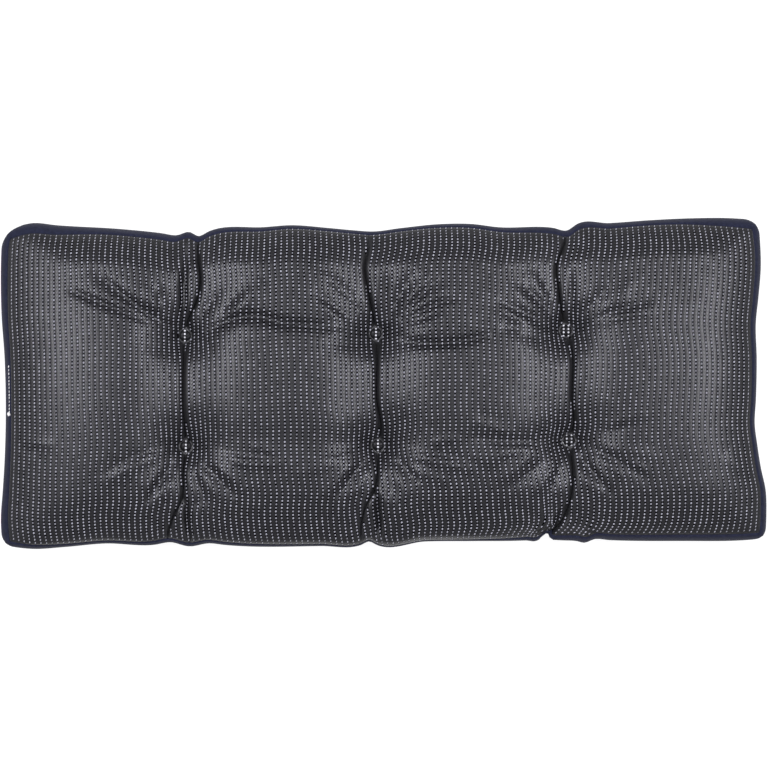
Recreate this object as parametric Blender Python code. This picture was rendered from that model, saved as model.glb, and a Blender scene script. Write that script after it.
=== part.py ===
"""Tufted bench cushion: one filled cushion and the six covered buttons that tuft it.

Metres, +Z up. X runs along the bench, +Y is the back edge, -Y the front edge.
The cushion lies on its back: its underside rests on z = 0 and its face looks up.
"""
from collections import namedtuple
from math import cos, pi, sin, tau

import bmesh
import bpy
import numpy as np

# ------------------------------------------------------------------ driving sizes
GIRTH_HEIGHT = 0.037        # height of the widest line, where the edge turns under
FACE_HEIGHT = 0.094         # height of the filled face away from every pull
CROWN = 0.020               # the filling domes the face: this much lower beside the long edges
CROWN_REACH = 0.195
UNDER_ROLL = 0.036          # how far in from the outline the edge meets the surface below
UNDER_ROUNDNESS = 2.2       # superellipse power of that roll
SIDE_BLEND = 9.0            # how crisply neighbouring sides meet at the mitred corners

CREASE_WIDTH = 0.011        # how far from a valley its two sides roll over into it
CREASE_SHARE = 0.36         # share of a valley's depth that is in that roll
SHOULDER_WIDTH = 0.052      # gentle fall beyond it, each way
RELIEF_RISE = 1.15          # pulls and folds die out on the last of the climb to the outline
RELIEF_POWER = 1.4

TUFT_DEPTH = 0.008          # pull of a tuft below its valley
TUFT_REACH = 0.022          # how fast that pull dies away
TUFT_OPENING = 0.80         # a crease opens into a soft dimple at a tuft
TUFT_OPENING_REACH = 0.020
SEAT_RADIUS = 0.0082        # flat seat under a button
SEAT_BLEND = 0.0050         # and the short slope around it

BUTTON_RADIUS = 0.0075
BUTTON_RISE = 0.0052
BUTTON_WAIST = 0.0017       # height of its widest line
BUTTON_FOOT = 0.0060        # radius of the flat that it sits on
BUTTON_GAP = 0.0003         # clearance between a button and its seat
BUTTON_STEPS = 18
DOME_STEPS = 5

UNDER_FLATNESS = 0.0002     # lower than this counts as the flat rest
UNDER_DIMPLE_DEPTH = 0.010  # the ties pull shallow dimples into the underside too
UNDER_DIMPLE_REACH = 0.021
UNDER_VALLEY_DEPTH = 0.004
UNDER_VALLEY_REACH = 0.010
UNDER_PULL_START = 0.0006   # a weaker pull leaves the underside on its rest

COLUMNS_PER_SECTION = 44    # fine grid that the shape is worked out on
ROWS = 84
UNDER_STEP = 4              # the underside keeps every fourth column and row
COLUMN_PINCH = 0.62         # crowds the columns towards the valleys
PLAN_PASSES = 3             # rounds in which rows and columns settle on each other
FIRST_LENGTH = 0.916        # evenly spread columns that those rounds start from
CUSHION_TRIANGLES = 10400   # what the finished solid is thinned to
LEAST_CLIMB = 1e-3

CLOTH_COLOUR = (0.052, 0.051, 0.056, 1.0)
BUTTON_COLOUR = (0.060, 0.059, 0.064, 1.0)
CLOTH_ROUGHNESS = 0.85

# ------------------------------------------------------------------ outline
# Each side turns over a narrow roll at the outline and then climbs a wide shoulder.
Side = namedtuple("Side", "roll_width roll_share shoulder_width shoulder_power")
SIDES = {
    "left": Side(roll_width=0.011, roll_share=0.40, shoulder_width=0.132, shoulder_power=2.5),
    "right": Side(roll_width=0.010, roll_share=0.50, shoulder_width=0.100, shoulder_power=2.2),
    "front": Side(roll_width=0.009, roll_share=0.58, shoulder_width=0.070, shoulder_power=2.0),
    "back": Side(roll_width=0.008, roll_share=0.44, shoulder_width=0.043, shoulder_power=1.45),
}
CORNER_RADII = {
    ("left", "back"): 0.026,
    ("right", "back"): 0.017,
    ("left", "front"): 0.015,
    ("right", "front"): 0.013,
}

# The back edge bows out over each section and nips in where a valley meets it (x, y).
BACK_EDGE = (
    (-0.459, 0.1860), (-0.440, 0.1890), (-0.421, 0.1926), (-0.392, 0.1900), (-0.315, 0.1854),
    (-0.267, 0.1806), (-0.248, 0.1780), (-0.233, 0.1820), (-0.222, 0.1770), (-0.209, 0.1830),
    (-0.142, 0.1878), (-0.113, 0.1900), (-0.065, 0.1866), (-0.037, 0.1840), (-0.013, 0.1825),
    (0.021, 0.1866), (0.069, 0.1914), (0.107, 0.1914), (0.136, 0.1878), (0.203, 0.1870),
    (0.221, 0.1840), (0.232, 0.1914), (0.271, 0.1926), (0.319, 0.1960), (0.376, 0.1985),
    (0.415, 0.1985), (0.443, 0.1965), (0.459, 0.1940),
)
FRONT_EDGE = (
    (-0.459, -0.1940), (-0.449, -0.1955), (-0.421, -0.1985), (-0.382, -0.1962), (-0.334, -0.1920),
    (-0.275, -0.1936), (-0.256, -0.1905), (-0.233, -0.1955), (-0.209, -0.1918), (-0.190, -0.1938),
    (-0.075, -0.1950), (-0.027, -0.1938), (-0.017, -0.1895), (-0.008, -0.1938), (0.050, -0.1895),
    (0.107, -0.1890), (0.170, -0.1884), (0.186, -0.1876), (0.194, -0.1796), (0.201, -0.1866),
    (0.211, -0.1880), (0.232, -0.1892), (0.241, -0.1912), (0.252, -0.1870), (0.271, -0.1880),
    (0.357, -0.1890), (0.434, -0.1880), (0.459, -0.1860),
)
# The short sides are drawn in at mid-depth (y, x).
LEFT_EDGE = (
    (-0.198, -0.4575), (-0.160, -0.4590), (-0.128, -0.4566), (-0.090, -0.4542), (0.030, -0.4542),
    (0.084, -0.4580), (0.125, -0.4590), (0.198, -0.4572),
)
RIGHT_EDGE = (
    (-0.198, 0.4570), (-0.155, 0.4590), (-0.128, 0.4580), (-0.100, 0.4520), (-0.075, 0.4480),
    (-0.048, 0.4446), (-0.020, 0.4460), (0.030, 0.4470), (0.072, 0.4460), (0.105, 0.4494),
    (0.135, 0.4520), (0.198, 0.4500),
)

# ------------------------------------------------------------------ valleys between the four sections
# From the front edge to the back edge through both tufts (y, x, depth).
VALLEYS = (
    (
        (-0.198, -0.2574, 0.015), (-0.182, -0.2574, 0.016), (-0.158, -0.2502, 0.016),
        (-0.140, -0.2406, 0.019), (-0.104, -0.2382, 0.025), (-0.075, -0.2358, 0.031),
        (-0.020, -0.2382, 0.025), (0.028, -0.2376, 0.027), (0.057, -0.2370, 0.032),
        (0.076, -0.2322, 0.029), (0.100, -0.2214, 0.027), (0.124, -0.2178, 0.024),
        (0.146, -0.2202, 0.021), (0.177, -0.2214, 0.018), (0.198, -0.2214, 0.015),
    ),
    (
        (-0.198, -0.0264, 0.012), (-0.176, -0.0270, 0.015), (-0.143, -0.0198, 0.016),
        (-0.128, -0.0114, 0.019), (-0.098, -0.0066, 0.024), (-0.074, -0.0060, 0.031),
        (-0.050, -0.0030, 0.028), (-0.020, -0.0078, 0.025), (0.028, -0.0078, 0.025),
        (0.059, -0.0090, 0.031), (0.088, -0.0138, 0.027), (0.112, -0.0186, 0.024),
        (0.139, -0.0222, 0.019), (0.160, -0.0186, 0.014), (0.198, -0.0190, 0.011),
    ),
    (
        (-0.198, 0.1930, 0.024), (-0.181, 0.1950, 0.024), (-0.171, 0.2070, 0.022),
        (-0.149, 0.2190, 0.021), (-0.128, 0.2238, 0.021), (-0.086, 0.2238, 0.027),
        (-0.068, 0.2220, 0.031), (-0.050, 0.2262, 0.029), (-0.020, 0.2238, 0.025),
        (0.046, 0.2226, 0.027), (0.063, 0.2180, 0.032), (0.082, 0.2130, 0.029),
        (0.112, 0.2082, 0.025), (0.139, 0.2058, 0.022), (0.166, 0.2154, 0.019),
        (0.198, 0.2200, 0.018),
    ),
)

# Tuft centres, left to right, one pair for each valley.
TUFTS = {
    "left_back": (-0.2370, 0.0570),
    "left_front": (-0.2358, -0.0750),
    "middle_back": (-0.0090, 0.0594),
    "middle_front": (-0.0066, -0.0738),
    "right_back": (0.2178, 0.0630),
    "right_front": (0.2214, -0.0678),
}

# Where the cloth is taut between tufts it sags a little across each section.
ROW_SAG = 0.0024
ROW_SAG_REACH = 0.024
ROW_SAG_END = 0.240         # the sag fades out beyond the outer tufts
ROW_SAG_FADE = 0.050
TUFT_ROWS = (0.060, -0.072)

# ------------------------------------------------------------------ folds
# Each fold runs on a curve from its tuft or edge to its far end.
# A ridge has a positive height, a trough a negative one.
Fold = namedtuple("Fold", "start bend end width height")
FOLDS = (
    # second crease beside each valley, and the small lobes between the two
    Fold((-0.2382, 0.066), (-0.2440, 0.108), (-0.2340, 0.176), 0.0040, -0.0090),
    Fold((-0.2394, -0.134), (-0.2358, -0.164), (-0.2330, -0.204), 0.0036, -0.0110),
    Fold((-0.0114, -0.128), (-0.0040, -0.154), (-0.0066, -0.196), 0.0036, -0.0110),
    Fold((0.2250, 0.070), (0.2262, 0.110), (0.2238, 0.146), 0.0050, -0.0050),
    Fold((0.0010, 0.078), (0.0000, 0.106), (0.0066, 0.139), 0.0050, -0.0030),
    # left section
    Fold((-0.250, 0.066), (-0.292, 0.084), (-0.350, 0.139), 0.0062, -0.0056),
    Fold((-0.276, 0.076), (-0.326, 0.092), (-0.381, 0.114), 0.0046, -0.0034),
    Fold((-0.262, 0.079), (-0.266, 0.100), (-0.274, 0.124), 0.0080, -0.0040),
    Fold((-0.243, 0.050), (-0.262, 0.044), (-0.290, 0.042), 0.0130, -0.0014),
    Fold((-0.251, -0.090), (-0.265, -0.116), (-0.286, -0.145), 0.0050, -0.0050),
    Fold((-0.254, -0.110), (-0.262, -0.124), (-0.266, -0.142), 0.0080, 0.0025),
    Fold((-0.262, -0.130), (-0.278, -0.148), (-0.292, -0.170), 0.0050, 0.0022),
    Fold((-0.256, -0.078), (-0.292, -0.092), (-0.340, -0.123), 0.0080, 0.0036),
    Fold((-0.262, -0.078), (-0.300, -0.084), (-0.334, -0.108), 0.0060, -0.0025),
    # second section, back half
    Fold((-0.223, 0.072), (-0.212, 0.094), (-0.193, 0.114), 0.0085, -0.0040),
    Fold((-0.184, 0.079), (-0.163, 0.098), (-0.143, 0.124), 0.0080, 0.0028),
    Fold((-0.214, 0.060), (-0.153, 0.095), (-0.070, 0.069), 0.0055, -0.0048),
    Fold((-0.206, 0.044), (-0.151, 0.072), (-0.070, 0.048), 0.0150, 0.0024),
    Fold((-0.038, 0.076), (-0.058, 0.091), (-0.088, 0.114), 0.0052, -0.0026),
    Fold((-0.030, 0.092), (-0.046, 0.110), (-0.072, 0.133), 0.0065, 0.0020),
    Fold((-0.042, 0.070), (-0.060, 0.084), (-0.080, 0.098), 0.0055, 0.0018),
    Fold((-0.018, 0.052), (-0.036, 0.050), (-0.058, 0.043), 0.0050, -0.0018),
    # second section, front half
    Fold((-0.190, -0.086), (-0.166, -0.099), (-0.110, -0.094), 0.0065, 0.0036),
    Fold((-0.212, -0.088), (-0.187, -0.106), (-0.162, -0.132), 0.0070, 0.0034),
    Fold((-0.219, -0.094), (-0.199, -0.110), (-0.177, -0.138), 0.0060, -0.0034),
    Fold((-0.228, -0.097), (-0.212, -0.116), (-0.191, -0.145), 0.0085, 0.0030),
    Fold((-0.034, -0.084), (-0.058, -0.095), (-0.100, -0.107), 0.0065, 0.0020),
    Fold((-0.030, -0.087), (-0.052, -0.110), (-0.077, -0.144), 0.0070, 0.0034),
    Fold((-0.020, -0.090), (-0.038, -0.110), (-0.056, -0.138), 0.0055, -0.0042),
    # third section, back half
    Fold((0.005, 0.074), (0.014, 0.100), (0.039, 0.137), 0.0080, -0.0040),
    Fold((0.017, 0.076), (0.041, 0.103), (0.068, 0.130), 0.0050, -0.0026),
    Fold((0.024, 0.078), (0.050, 0.098), (0.080, 0.115), 0.0060, 0.0020),
    Fold((0.022, 0.072), (0.050, 0.093), (0.098, 0.105), 0.0048, -0.0026),
    Fold((0.024, 0.067), (0.056, 0.087), (0.090, 0.099), 0.0060, 0.0022),
    Fold((0.015, 0.060), (0.056, 0.063), (0.108, 0.079), 0.0075, 0.0026),
    Fold((0.018, 0.051), (0.078, 0.041), (0.130, 0.060), 0.0050, -0.0046),
    Fold((0.200, 0.071), (0.166, 0.083), (0.134, 0.102), 0.0050, -0.0032),
    Fold((0.195, 0.066), (0.164, 0.074), (0.131, 0.094), 0.0055, 0.0020),
    Fold((0.199, 0.079), (0.170, 0.096), (0.148, 0.119), 0.0070, 0.0026),
    Fold((0.203, 0.083), (0.186, 0.097), (0.165, 0.121), 0.0050, -0.0024),
    Fold((0.128, 0.056), (0.158, 0.050), (0.190, 0.038), 0.0100, 0.0022),
    # third section, front half
    Fold((0.099, -0.044), (0.128, -0.052), (0.160, -0.061), 0.0065, 0.0012),
    Fold((0.103, -0.064), (0.140, -0.070), (0.206, -0.070), 0.0055, -0.0026),
    Fold((0.206, -0.084), (0.152, -0.080), (0.092, -0.092), 0.0120, 0.0040),
    Fold((0.178, -0.086), (0.158, -0.104), (0.135, -0.117), 0.0075, 0.0032),
    Fold((0.210, -0.091), (0.197, -0.108), (0.183, -0.134), 0.0055, 0.0036),
    Fold((0.010, -0.082), (0.056, -0.089), (0.112, -0.104), 0.0065, 0.0030),
    Fold((0.015, -0.091), (0.026, -0.100), (0.042, -0.120), 0.0060, -0.0034),
    Fold((0.009, -0.097), (0.020, -0.116), (0.032, -0.140), 0.0100, 0.0036),
    # right section
    Fold((0.228, 0.076), (0.258, 0.096), (0.284, 0.140), 0.0075, -0.0030),
    Fold((0.250, 0.076), (0.282, 0.088), (0.324, 0.102), 0.0050, -0.0026),
    Fold((0.262, 0.072), (0.290, 0.080), (0.328, 0.090), 0.0065, 0.0018),
    Fold((0.253, -0.060), (0.290, -0.054), (0.328, -0.043), 0.0070, -0.0012),
    Fold((0.252, -0.075), (0.284, -0.077), (0.333, -0.089), 0.0075, 0.0014),
    Fold((0.247, -0.078), (0.278, -0.087), (0.321, -0.119), 0.0055, -0.0022),
    Fold((0.243, -0.086), (0.260, -0.104), (0.276, -0.124), 0.0060, 0.0018),
    Fold((0.232, -0.085), (0.250, -0.104), (0.277, -0.138), 0.0052, -0.0040),
    Fold((0.231, -0.101), (0.246, -0.116), (0.264, -0.138), 0.0090, 0.0022),
    Fold((0.392, -0.078), (0.414, -0.094), (0.441, -0.107), 0.0095, 0.0030),
)
FOLD_STEPS = 14
FOLD_PLACE = 0.988          # the folds stand higher than the outline, so they are drawn in a little
FOLD_TAPER = 0.75           # lower keeps a fold's height longer towards its two ends
FOLD_REACH = 3.2            # how many widths away a fold still counts


# ------------------------------------------------------------------ shape
def read_curve(table, column, at):
    """Smooth curve through one column of a table, read at places along its first column."""
    rows = np.array(table, dtype=float)
    known, values = rows[:, 0], rows[:, column]
    slopes = np.gradient(values, known)
    left = np.clip(np.searchsorted(known, at) - 1, 0, len(known) - 2)
    span = known[left + 1] - known[left]
    t = np.clip((at - known[left]) / span, 0.0, 1.0)
    from_left = (1 + 2 * t) * (1 - t) ** 2 * values[left] + t * (1 - t) ** 2 * span * slopes[left]
    right_slope = t * t * (t - 1) * span * slopes[left + 1]
    return from_left + t * t * (3 - 2 * t) * values[left + 1] + right_slope


def plan_grid(columns, rows):
    """Square-cornered plan of the grid: its columns follow the valleys, its rows the long edges."""
    section, within = np.divmod(np.linspace(0, 4, columns + 1), 1)
    section, within = section.astype(int), within.copy()
    within[section == 4], section[section == 4] = 1.0, 3
    eased = within - COLUMN_PINCH / tau * np.sin(tau * within)
    across = np.linspace(-0.5, 0.5, columns + 1) * FIRST_LENGTH
    depth = np.linspace(0, 1, rows + 1)[:, None]
    x = np.repeat(across[None, :], rows + 1, axis=0)
    for _ in range(PLAN_PASSES):
        front = read_curve(FRONT_EDGE, 1, x)
        back = read_curve(BACK_EDGE, 1, x)
        y = front + (back - front) * depth
        lines = [read_curve(LEFT_EDGE, 1, y)]
        lines += [read_curve(valley, 1, y) for valley in VALLEYS]
        lines.append(read_curve(RIGHT_EDGE, 1, y))
        low = np.choose(section[None, :], lines[:-1])
        high = np.choose(section[None, :], lines[1:])
        x = low + (high - low) * eased[None, :]
    return x, y


def edge_gaps(x, y):
    """Distance of each plan point from the four edges."""
    return {
        "left": np.maximum(x - read_curve(LEFT_EDGE, 1, y), 0),
        "right": np.maximum(read_curve(RIGHT_EDGE, 1, y) - x, 0),
        "front": np.maximum(y - read_curve(FRONT_EDGE, 1, x), 0),
        "back": np.maximum(read_curve(BACK_EDGE, 1, x) - y, 0),
    }


def round_corners(x, y, gaps):
    """Pull the square corners in to quarter circles."""
    x, y = x.copy(), y.copy()
    for (side, end), radius in CORNER_RADII.items():
        u = np.clip(1 - gaps[side] / radius, 0, 1)
        v = np.clip(1 - gaps[end] / radius, 0, 1)
        inward_x = 1 if side == "left" else -1
        inward_y = 1 if end == "front" else -1
        x += inward_x * radius * u * (1 - np.sqrt(1 - v * v / 2))
        y += inward_y * radius * v * (1 - np.sqrt(1 - u * u / 2))
    return x, y


def fullness(gaps):
    """How far the face has climbed from the outline, 0 at the girth and 1 on the full face."""
    total = 0.0
    for name, side in SIDES.items():
        roll = np.clip(gaps[name] / side.roll_width, 0, 1)
        shoulder = np.clip(gaps[name] / side.shoulder_width, 0, 1)
        climb = side.roll_share * np.sqrt(1 - (1 - roll) ** 2)
        climb += (1 - side.roll_share) * (1 - (1 - shoulder) ** side.shoulder_power)
        total = total + np.maximum(climb, LEAST_CLIMB) ** -SIDE_BLEND
    return (total - len(SIDES) + 1) ** (-1 / SIDE_BLEND)


def valley_drop(x, y):
    """Depth below the full face of the three valleys, sharp in the middle and rounded outside."""
    drop = np.zeros_like(x)
    from_tuft = np.minimum.reduce([np.hypot(x - at[0], y - at[1]) for at in TUFTS.values()])
    crease_share = CREASE_SHARE * (1 - TUFT_OPENING * np.exp(-(from_tuft / TUFT_OPENING_REACH) ** 2))
    for valley in VALLEYS:
        away = np.abs(x - read_curve(valley, 1, y))
        inside = 1 - np.clip(away / CREASE_WIDTH, 0, 1)
        sharp = crease_share * (1 - np.sqrt(1 - inside ** 2))
        rounded = (1 - crease_share) * np.exp(-(away / SHOULDER_WIDTH) ** 2)
        drop += read_curve(valley, 2, y) * (sharp + rounded)
    return drop


def tuft_drop(x, y):
    """Extra pull of the tufts, and the sag of the cloth along their rows."""
    drop = np.zeros_like(x)
    for centre_x, centre_y in TUFTS.values():
        away = np.maximum(np.hypot(x - centre_x, y - centre_y) - SEAT_RADIUS, 0)
        drop += TUFT_DEPTH * np.exp(-away / TUFT_REACH)
    beyond = np.maximum(np.abs(x) - ROW_SAG_END, 0) / ROW_SAG_FADE
    for row in TUFT_ROWS:
        drop += ROW_SAG * np.exp(-((y - row) / ROW_SAG_REACH) ** 2 - beyond ** 2)
    return drop


def fold_height(x, y, fold):
    """Height of one fold: a soft bell across its curve, tapered at both ends."""
    t = np.linspace(0, 1, FOLD_STEPS)[:, None]
    start, bend, end = (np.array(point) for point in (fold.start, fold.bend, fold.end))
    curve = FOLD_PLACE * ((1 - t) ** 2 * start + 2 * t * (1 - t) * bend + t * t * end)
    reach = FOLD_REACH * fold.width
    low, high = curve.min(axis=0) - reach, curve.max(axis=0) + reach
    near = (x > low[0]) & (x < high[0]) & (y > low[1]) & (y < high[1])
    height = np.zeros_like(x)
    if not near.any():
        return height
    spots = np.stack([x[near], y[near]], axis=-1)
    best, along = np.full(len(spots), np.inf), np.zeros(len(spots))
    for k in range(FOLD_STEPS - 1):
        step = curve[k + 1] - curve[k]
        part = np.clip((spots - curve[k]) @ step / (step @ step), 0, 1)
        distance = np.linalg.norm(spots - curve[k] - part[:, None] * step, axis=1)
        closer = distance < best
        best[closer], along[closer] = distance[closer], (k + part[closer]) / (FOLD_STEPS - 1)
    taper = np.sin(pi * np.clip(along, 0, 1)) ** FOLD_TAPER
    height[near] = fold.height * taper * np.exp(-(best / fold.width) ** 2)
    return height


def crown_height(y):
    """Height of the domed face away from every pull."""
    return FACE_HEIGHT - CROWN * (y / CROWN_REACH) ** 2


def face_height(x, y, gaps):
    """Height of the face over the square-cornered plan."""
    full = fullness(gaps)
    relief = -valley_drop(x, y) - tuft_drop(x, y)
    for fold in FOLDS:
        relief += fold_height(x, y, fold)
    fade = np.clip(full * RELIEF_RISE, 0, 1) ** RELIEF_POWER
    height = GIRTH_HEIGHT + (crown_height(y) - GIRTH_HEIGHT) * full + relief * fade
    for centre_x, centre_y in TUFTS.values():
        away = np.hypot(x - centre_x, y - centre_y)
        flat = np.clip((SEAT_RADIUS + SEAT_BLEND - away) / SEAT_BLEND, 0, 1)
        flat = flat * flat * (3 - 2 * flat)
        height += (seat_height(centre_x, centre_y) - height) * flat
    return height


def seat_height(centre_x, centre_y):
    """Height of the flat seat under a button."""
    x, y = np.array([centre_x]), np.array([centre_y])
    drop = valley_drop(x, y) + tuft_drop(x, y)
    return crown_height(centre_y) - float(drop[0])


def under_height(x, y, gaps):
    """Height of the underside: a rounded edge, then flat, with shallow pulls at the ties."""
    height = np.zeros_like(x)
    nearest = np.minimum.reduce(list(gaps.values()))
    out = 1 - np.clip(nearest / UNDER_ROLL, 0, 1)
    roll = GIRTH_HEIGHT * (1 - (1 - out ** UNDER_ROUNDNESS) ** (1 / UNDER_ROUNDNESS))
    for valley in VALLEYS:
        away = np.abs(x - read_curve(valley, 1, y))
        height += UNDER_VALLEY_DEPTH * np.exp(-(away / UNDER_VALLEY_REACH) ** 2)
    for centre_x, centre_y in TUFTS.values():
        away = np.hypot(x - centre_x, y - centre_y)
        height += UNDER_DIMPLE_DEPTH * np.exp(-(away / UNDER_DIMPLE_REACH) ** 2)
    lift = np.maximum(height - UNDER_PULL_START, 0)
    return roll + lift * (1 - out)


# ------------------------------------------------------------------ solids
def cloth_material(name, colour):
    material = bpy.data.materials.new(name)
    material.use_nodes = True
    shader = material.node_tree.nodes["Principled BSDF"]
    shader.inputs["Base Color"].default_value = colour
    shader.inputs["Roughness"].default_value = CLOTH_ROUGHNESS
    shader.inputs["Metallic"].default_value = 0.0
    material.diffuse_color = colour
    return material


def add_object(name, mesh, material):
    piece = bpy.data.objects.new(name, mesh)
    piece.data.materials.append(material)
    bpy.context.scene.collection.objects.link(piece)
    return piece


def cushion_mesh():
    """Closed skin of the cushion: a fine face grid and a coarser underside on one girth line."""
    columns, rows = 4 * COLUMNS_PER_SECTION, ROWS
    x, y = plan_grid(columns, rows)
    gaps = edge_gaps(x, y)
    top, under = face_height(x, y, gaps), under_height(x, y, gaps)
    plan_x, plan_y = round_corners(x, y, gaps)
    skin = bmesh.new()
    face, below = {}, {}
    for row in range(rows + 1):
        for column in range(columns + 1):
            rim = row in (0, rows) or column in (0, columns)
            height = GIRTH_HEIGHT if rim else top[row, column]
            place = (plan_x[row, column], plan_y[row, column])
            face[row, column] = skin.verts.new((*place, height))
            if rim:
                below[row, column] = face[row, column]
            elif row % UNDER_STEP == 0 and column % UNDER_STEP == 0:
                below[row, column] = skin.verts.new((*place, under[row, column]))
    for row in range(rows):
        for column in range(columns):
            corners = ((row, column), (row, column + 1), (row + 1, column + 1), (row + 1, column))
            skin.faces.new([face[corner] for corner in corners])
    for row in range(0, rows, UNDER_STEP):
        for column in range(0, columns, UNDER_STEP):
            ring = [(row + k, column) for k in range(UNDER_STEP)]
            ring += [(row + UNDER_STEP, column + k) for k in range(UNDER_STEP)]
            ring += [(row + UNDER_STEP - k, column + UNDER_STEP) for k in range(UNDER_STEP)]
            ring += [(row, column + UNDER_STEP - k) for k in range(UNDER_STEP)]
            skin.faces.new([below[place] for place in ring if place in below])
    bmesh.ops.triangulate(skin, faces=skin.faces)
    bmesh.ops.recalc_face_normals(skin, faces=skin.faces)
    mesh = bpy.data.meshes.new("cushion")
    skin.to_mesh(mesh)
    skin.free()
    return mesh


def apply_modifiers(piece):
    depsgraph = bpy.context.evaluated_depsgraph_get()
    mesh = bpy.data.meshes.new_from_object(piece.evaluated_get(depsgraph))
    piece.modifiers.clear()
    piece.data = mesh


def thin_out(piece, triangles):
    """Thin the skin to the wanted number of triangles and settle its flat underside again."""
    thin = piece.modifiers.new("thin", "DECIMATE")
    thin.ratio = triangles / len(piece.data.polygons)
    apply_modifiers(piece)
    for vertex in piece.data.vertices:
        if vertex.co.z < UNDER_FLATNESS:
            vertex.co.z = 0.0


def ring_of_points(skin, radius, centre):
    """One level circle of points around a centre (x, y, z)."""
    x, y, z = centre
    turns = [tau * k / BUTTON_STEPS for k in range(BUTTON_STEPS)]
    return [skin.verts.new((x + radius * cos(a), y + radius * sin(a), z)) for a in turns]


def join_rings(skin, lower, upper):
    """Band of faces between two rings, facing away from their axis."""
    for k in range(BUTTON_STEPS):
        after = (k + 1) % BUTTON_STEPS
        skin.faces.new((lower[k], lower[after], upper[after], upper[k]))


def cut_seats(piece):
    """Clear the round pocket that each button sinks into."""
    pockets = bmesh.new()
    radius = BUTTON_RADIUS + BUTTON_GAP
    for x, y in TUFTS.values():
        floor = ring_of_points(pockets, radius, (x, y, seat_height(x, y)))
        ceiling = ring_of_points(pockets, radius, (x, y, FACE_HEIGHT))
        join_rings(pockets, floor, ceiling)
        pockets.faces.new(list(reversed(floor)))
        pockets.faces.new(ceiling)
    mesh = bpy.data.meshes.new("seat_cutter")
    pockets.to_mesh(mesh)
    pockets.free()
    cutter = bpy.data.objects.new("seat_cutter", mesh)
    cutter.hide_render = True
    cutter.display_type = "WIRE"
    bpy.context.scene.collection.objects.link(cutter)
    cut = piece.modifiers.new("seats", "BOOLEAN")
    cut.operation = "DIFFERENCE"
    cut.object = cutter
    apply_modifiers(piece)
    bpy.data.objects.remove(cutter)


def button_mesh():
    """Domed covered button, turned from its profile (radius, height)."""
    profile = [(BUTTON_FOOT, 0.0)]
    for k in range(DOME_STEPS):
        angle = pi / 2 * k / DOME_STEPS
        rise = BUTTON_WAIST + (BUTTON_RISE - BUTTON_WAIST) * sin(angle)
        profile.append((BUTTON_RADIUS * cos(angle), rise))
    dome = bmesh.new()
    rings = [ring_of_points(dome, radius, (0, 0, height)) for radius, height in profile]
    for lower, upper in zip(rings, rings[1:]):
        join_rings(dome, lower, upper)
    dome.faces.new(list(reversed(rings[0])))
    crown = dome.verts.new((0, 0, BUTTON_RISE))
    for k in range(BUTTON_STEPS):
        dome.faces.new((rings[-1][k], rings[-1][(k + 1) % BUTTON_STEPS], crown))
    bmesh.ops.recalc_face_normals(dome, faces=dome.faces)
    mesh = bpy.data.meshes.new("button")
    dome.to_mesh(mesh)
    dome.free()
    mesh.shade_smooth()
    return mesh


def main():
    for old in list(bpy.data.objects):
        bpy.data.objects.remove(old)
    cushion = add_object("cushion", cushion_mesh(), cloth_material("ribbed_cloth", CLOTH_COLOUR))
    thin_out(cushion, CUSHION_TRIANGLES)
    cut_seats(cushion)
    cushion.data.shade_smooth()
    button = button_mesh()
    button_cloth = cloth_material("button_cloth", BUTTON_COLOUR)
    for name, (x, y) in TUFTS.items():
        piece = bpy.data.objects.new("button_" + name, button)
        if not button.materials:
            button.materials.append(button_cloth)
        piece.location = (x, y, seat_height(x, y) + BUTTON_GAP)
        bpy.context.scene.collection.objects.link(piece)


if __name__ == "__main__":
    main()
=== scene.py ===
"""Looks of a tufted bench cushion: ribbed cover, back cloth, raised stitches, covered buttons.

Metres, +Z up. The cushion lies on z = 0 with its face up, X runs along the bench and +Y is its back edge.
The file is laid out as a Blender add-on and is run as a script.
"""
from collections import namedtuple
from functools import lru_cache
from math import cos, pi, radians, sin, tau

import bpy
import numpy as np
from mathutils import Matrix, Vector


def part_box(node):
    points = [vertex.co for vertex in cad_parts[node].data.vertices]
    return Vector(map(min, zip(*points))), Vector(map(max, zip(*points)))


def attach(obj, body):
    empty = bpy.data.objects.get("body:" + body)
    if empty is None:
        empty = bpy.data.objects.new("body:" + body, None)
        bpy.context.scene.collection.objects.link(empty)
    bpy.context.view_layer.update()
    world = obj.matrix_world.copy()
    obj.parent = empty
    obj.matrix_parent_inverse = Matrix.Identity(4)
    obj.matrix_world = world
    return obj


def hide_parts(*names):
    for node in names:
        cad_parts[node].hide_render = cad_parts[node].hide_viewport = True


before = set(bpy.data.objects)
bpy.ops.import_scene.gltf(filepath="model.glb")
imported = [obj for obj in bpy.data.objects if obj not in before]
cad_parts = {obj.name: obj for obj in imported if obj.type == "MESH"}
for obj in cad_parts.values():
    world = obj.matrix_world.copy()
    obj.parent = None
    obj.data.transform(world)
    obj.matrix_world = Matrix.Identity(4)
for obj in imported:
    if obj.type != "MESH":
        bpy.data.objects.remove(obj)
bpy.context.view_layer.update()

bl_info = {
    "name": "Tufted bench cushion",
    "version": (1, 0, 0),
    "blender": (4, 5, 0),
    "location": "3D View > Sidebar > Cushion",
    "description": "Dresses a filled bench cushion in ribbed cloth",
    "category": "Object",
}

BODY = "root"

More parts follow.
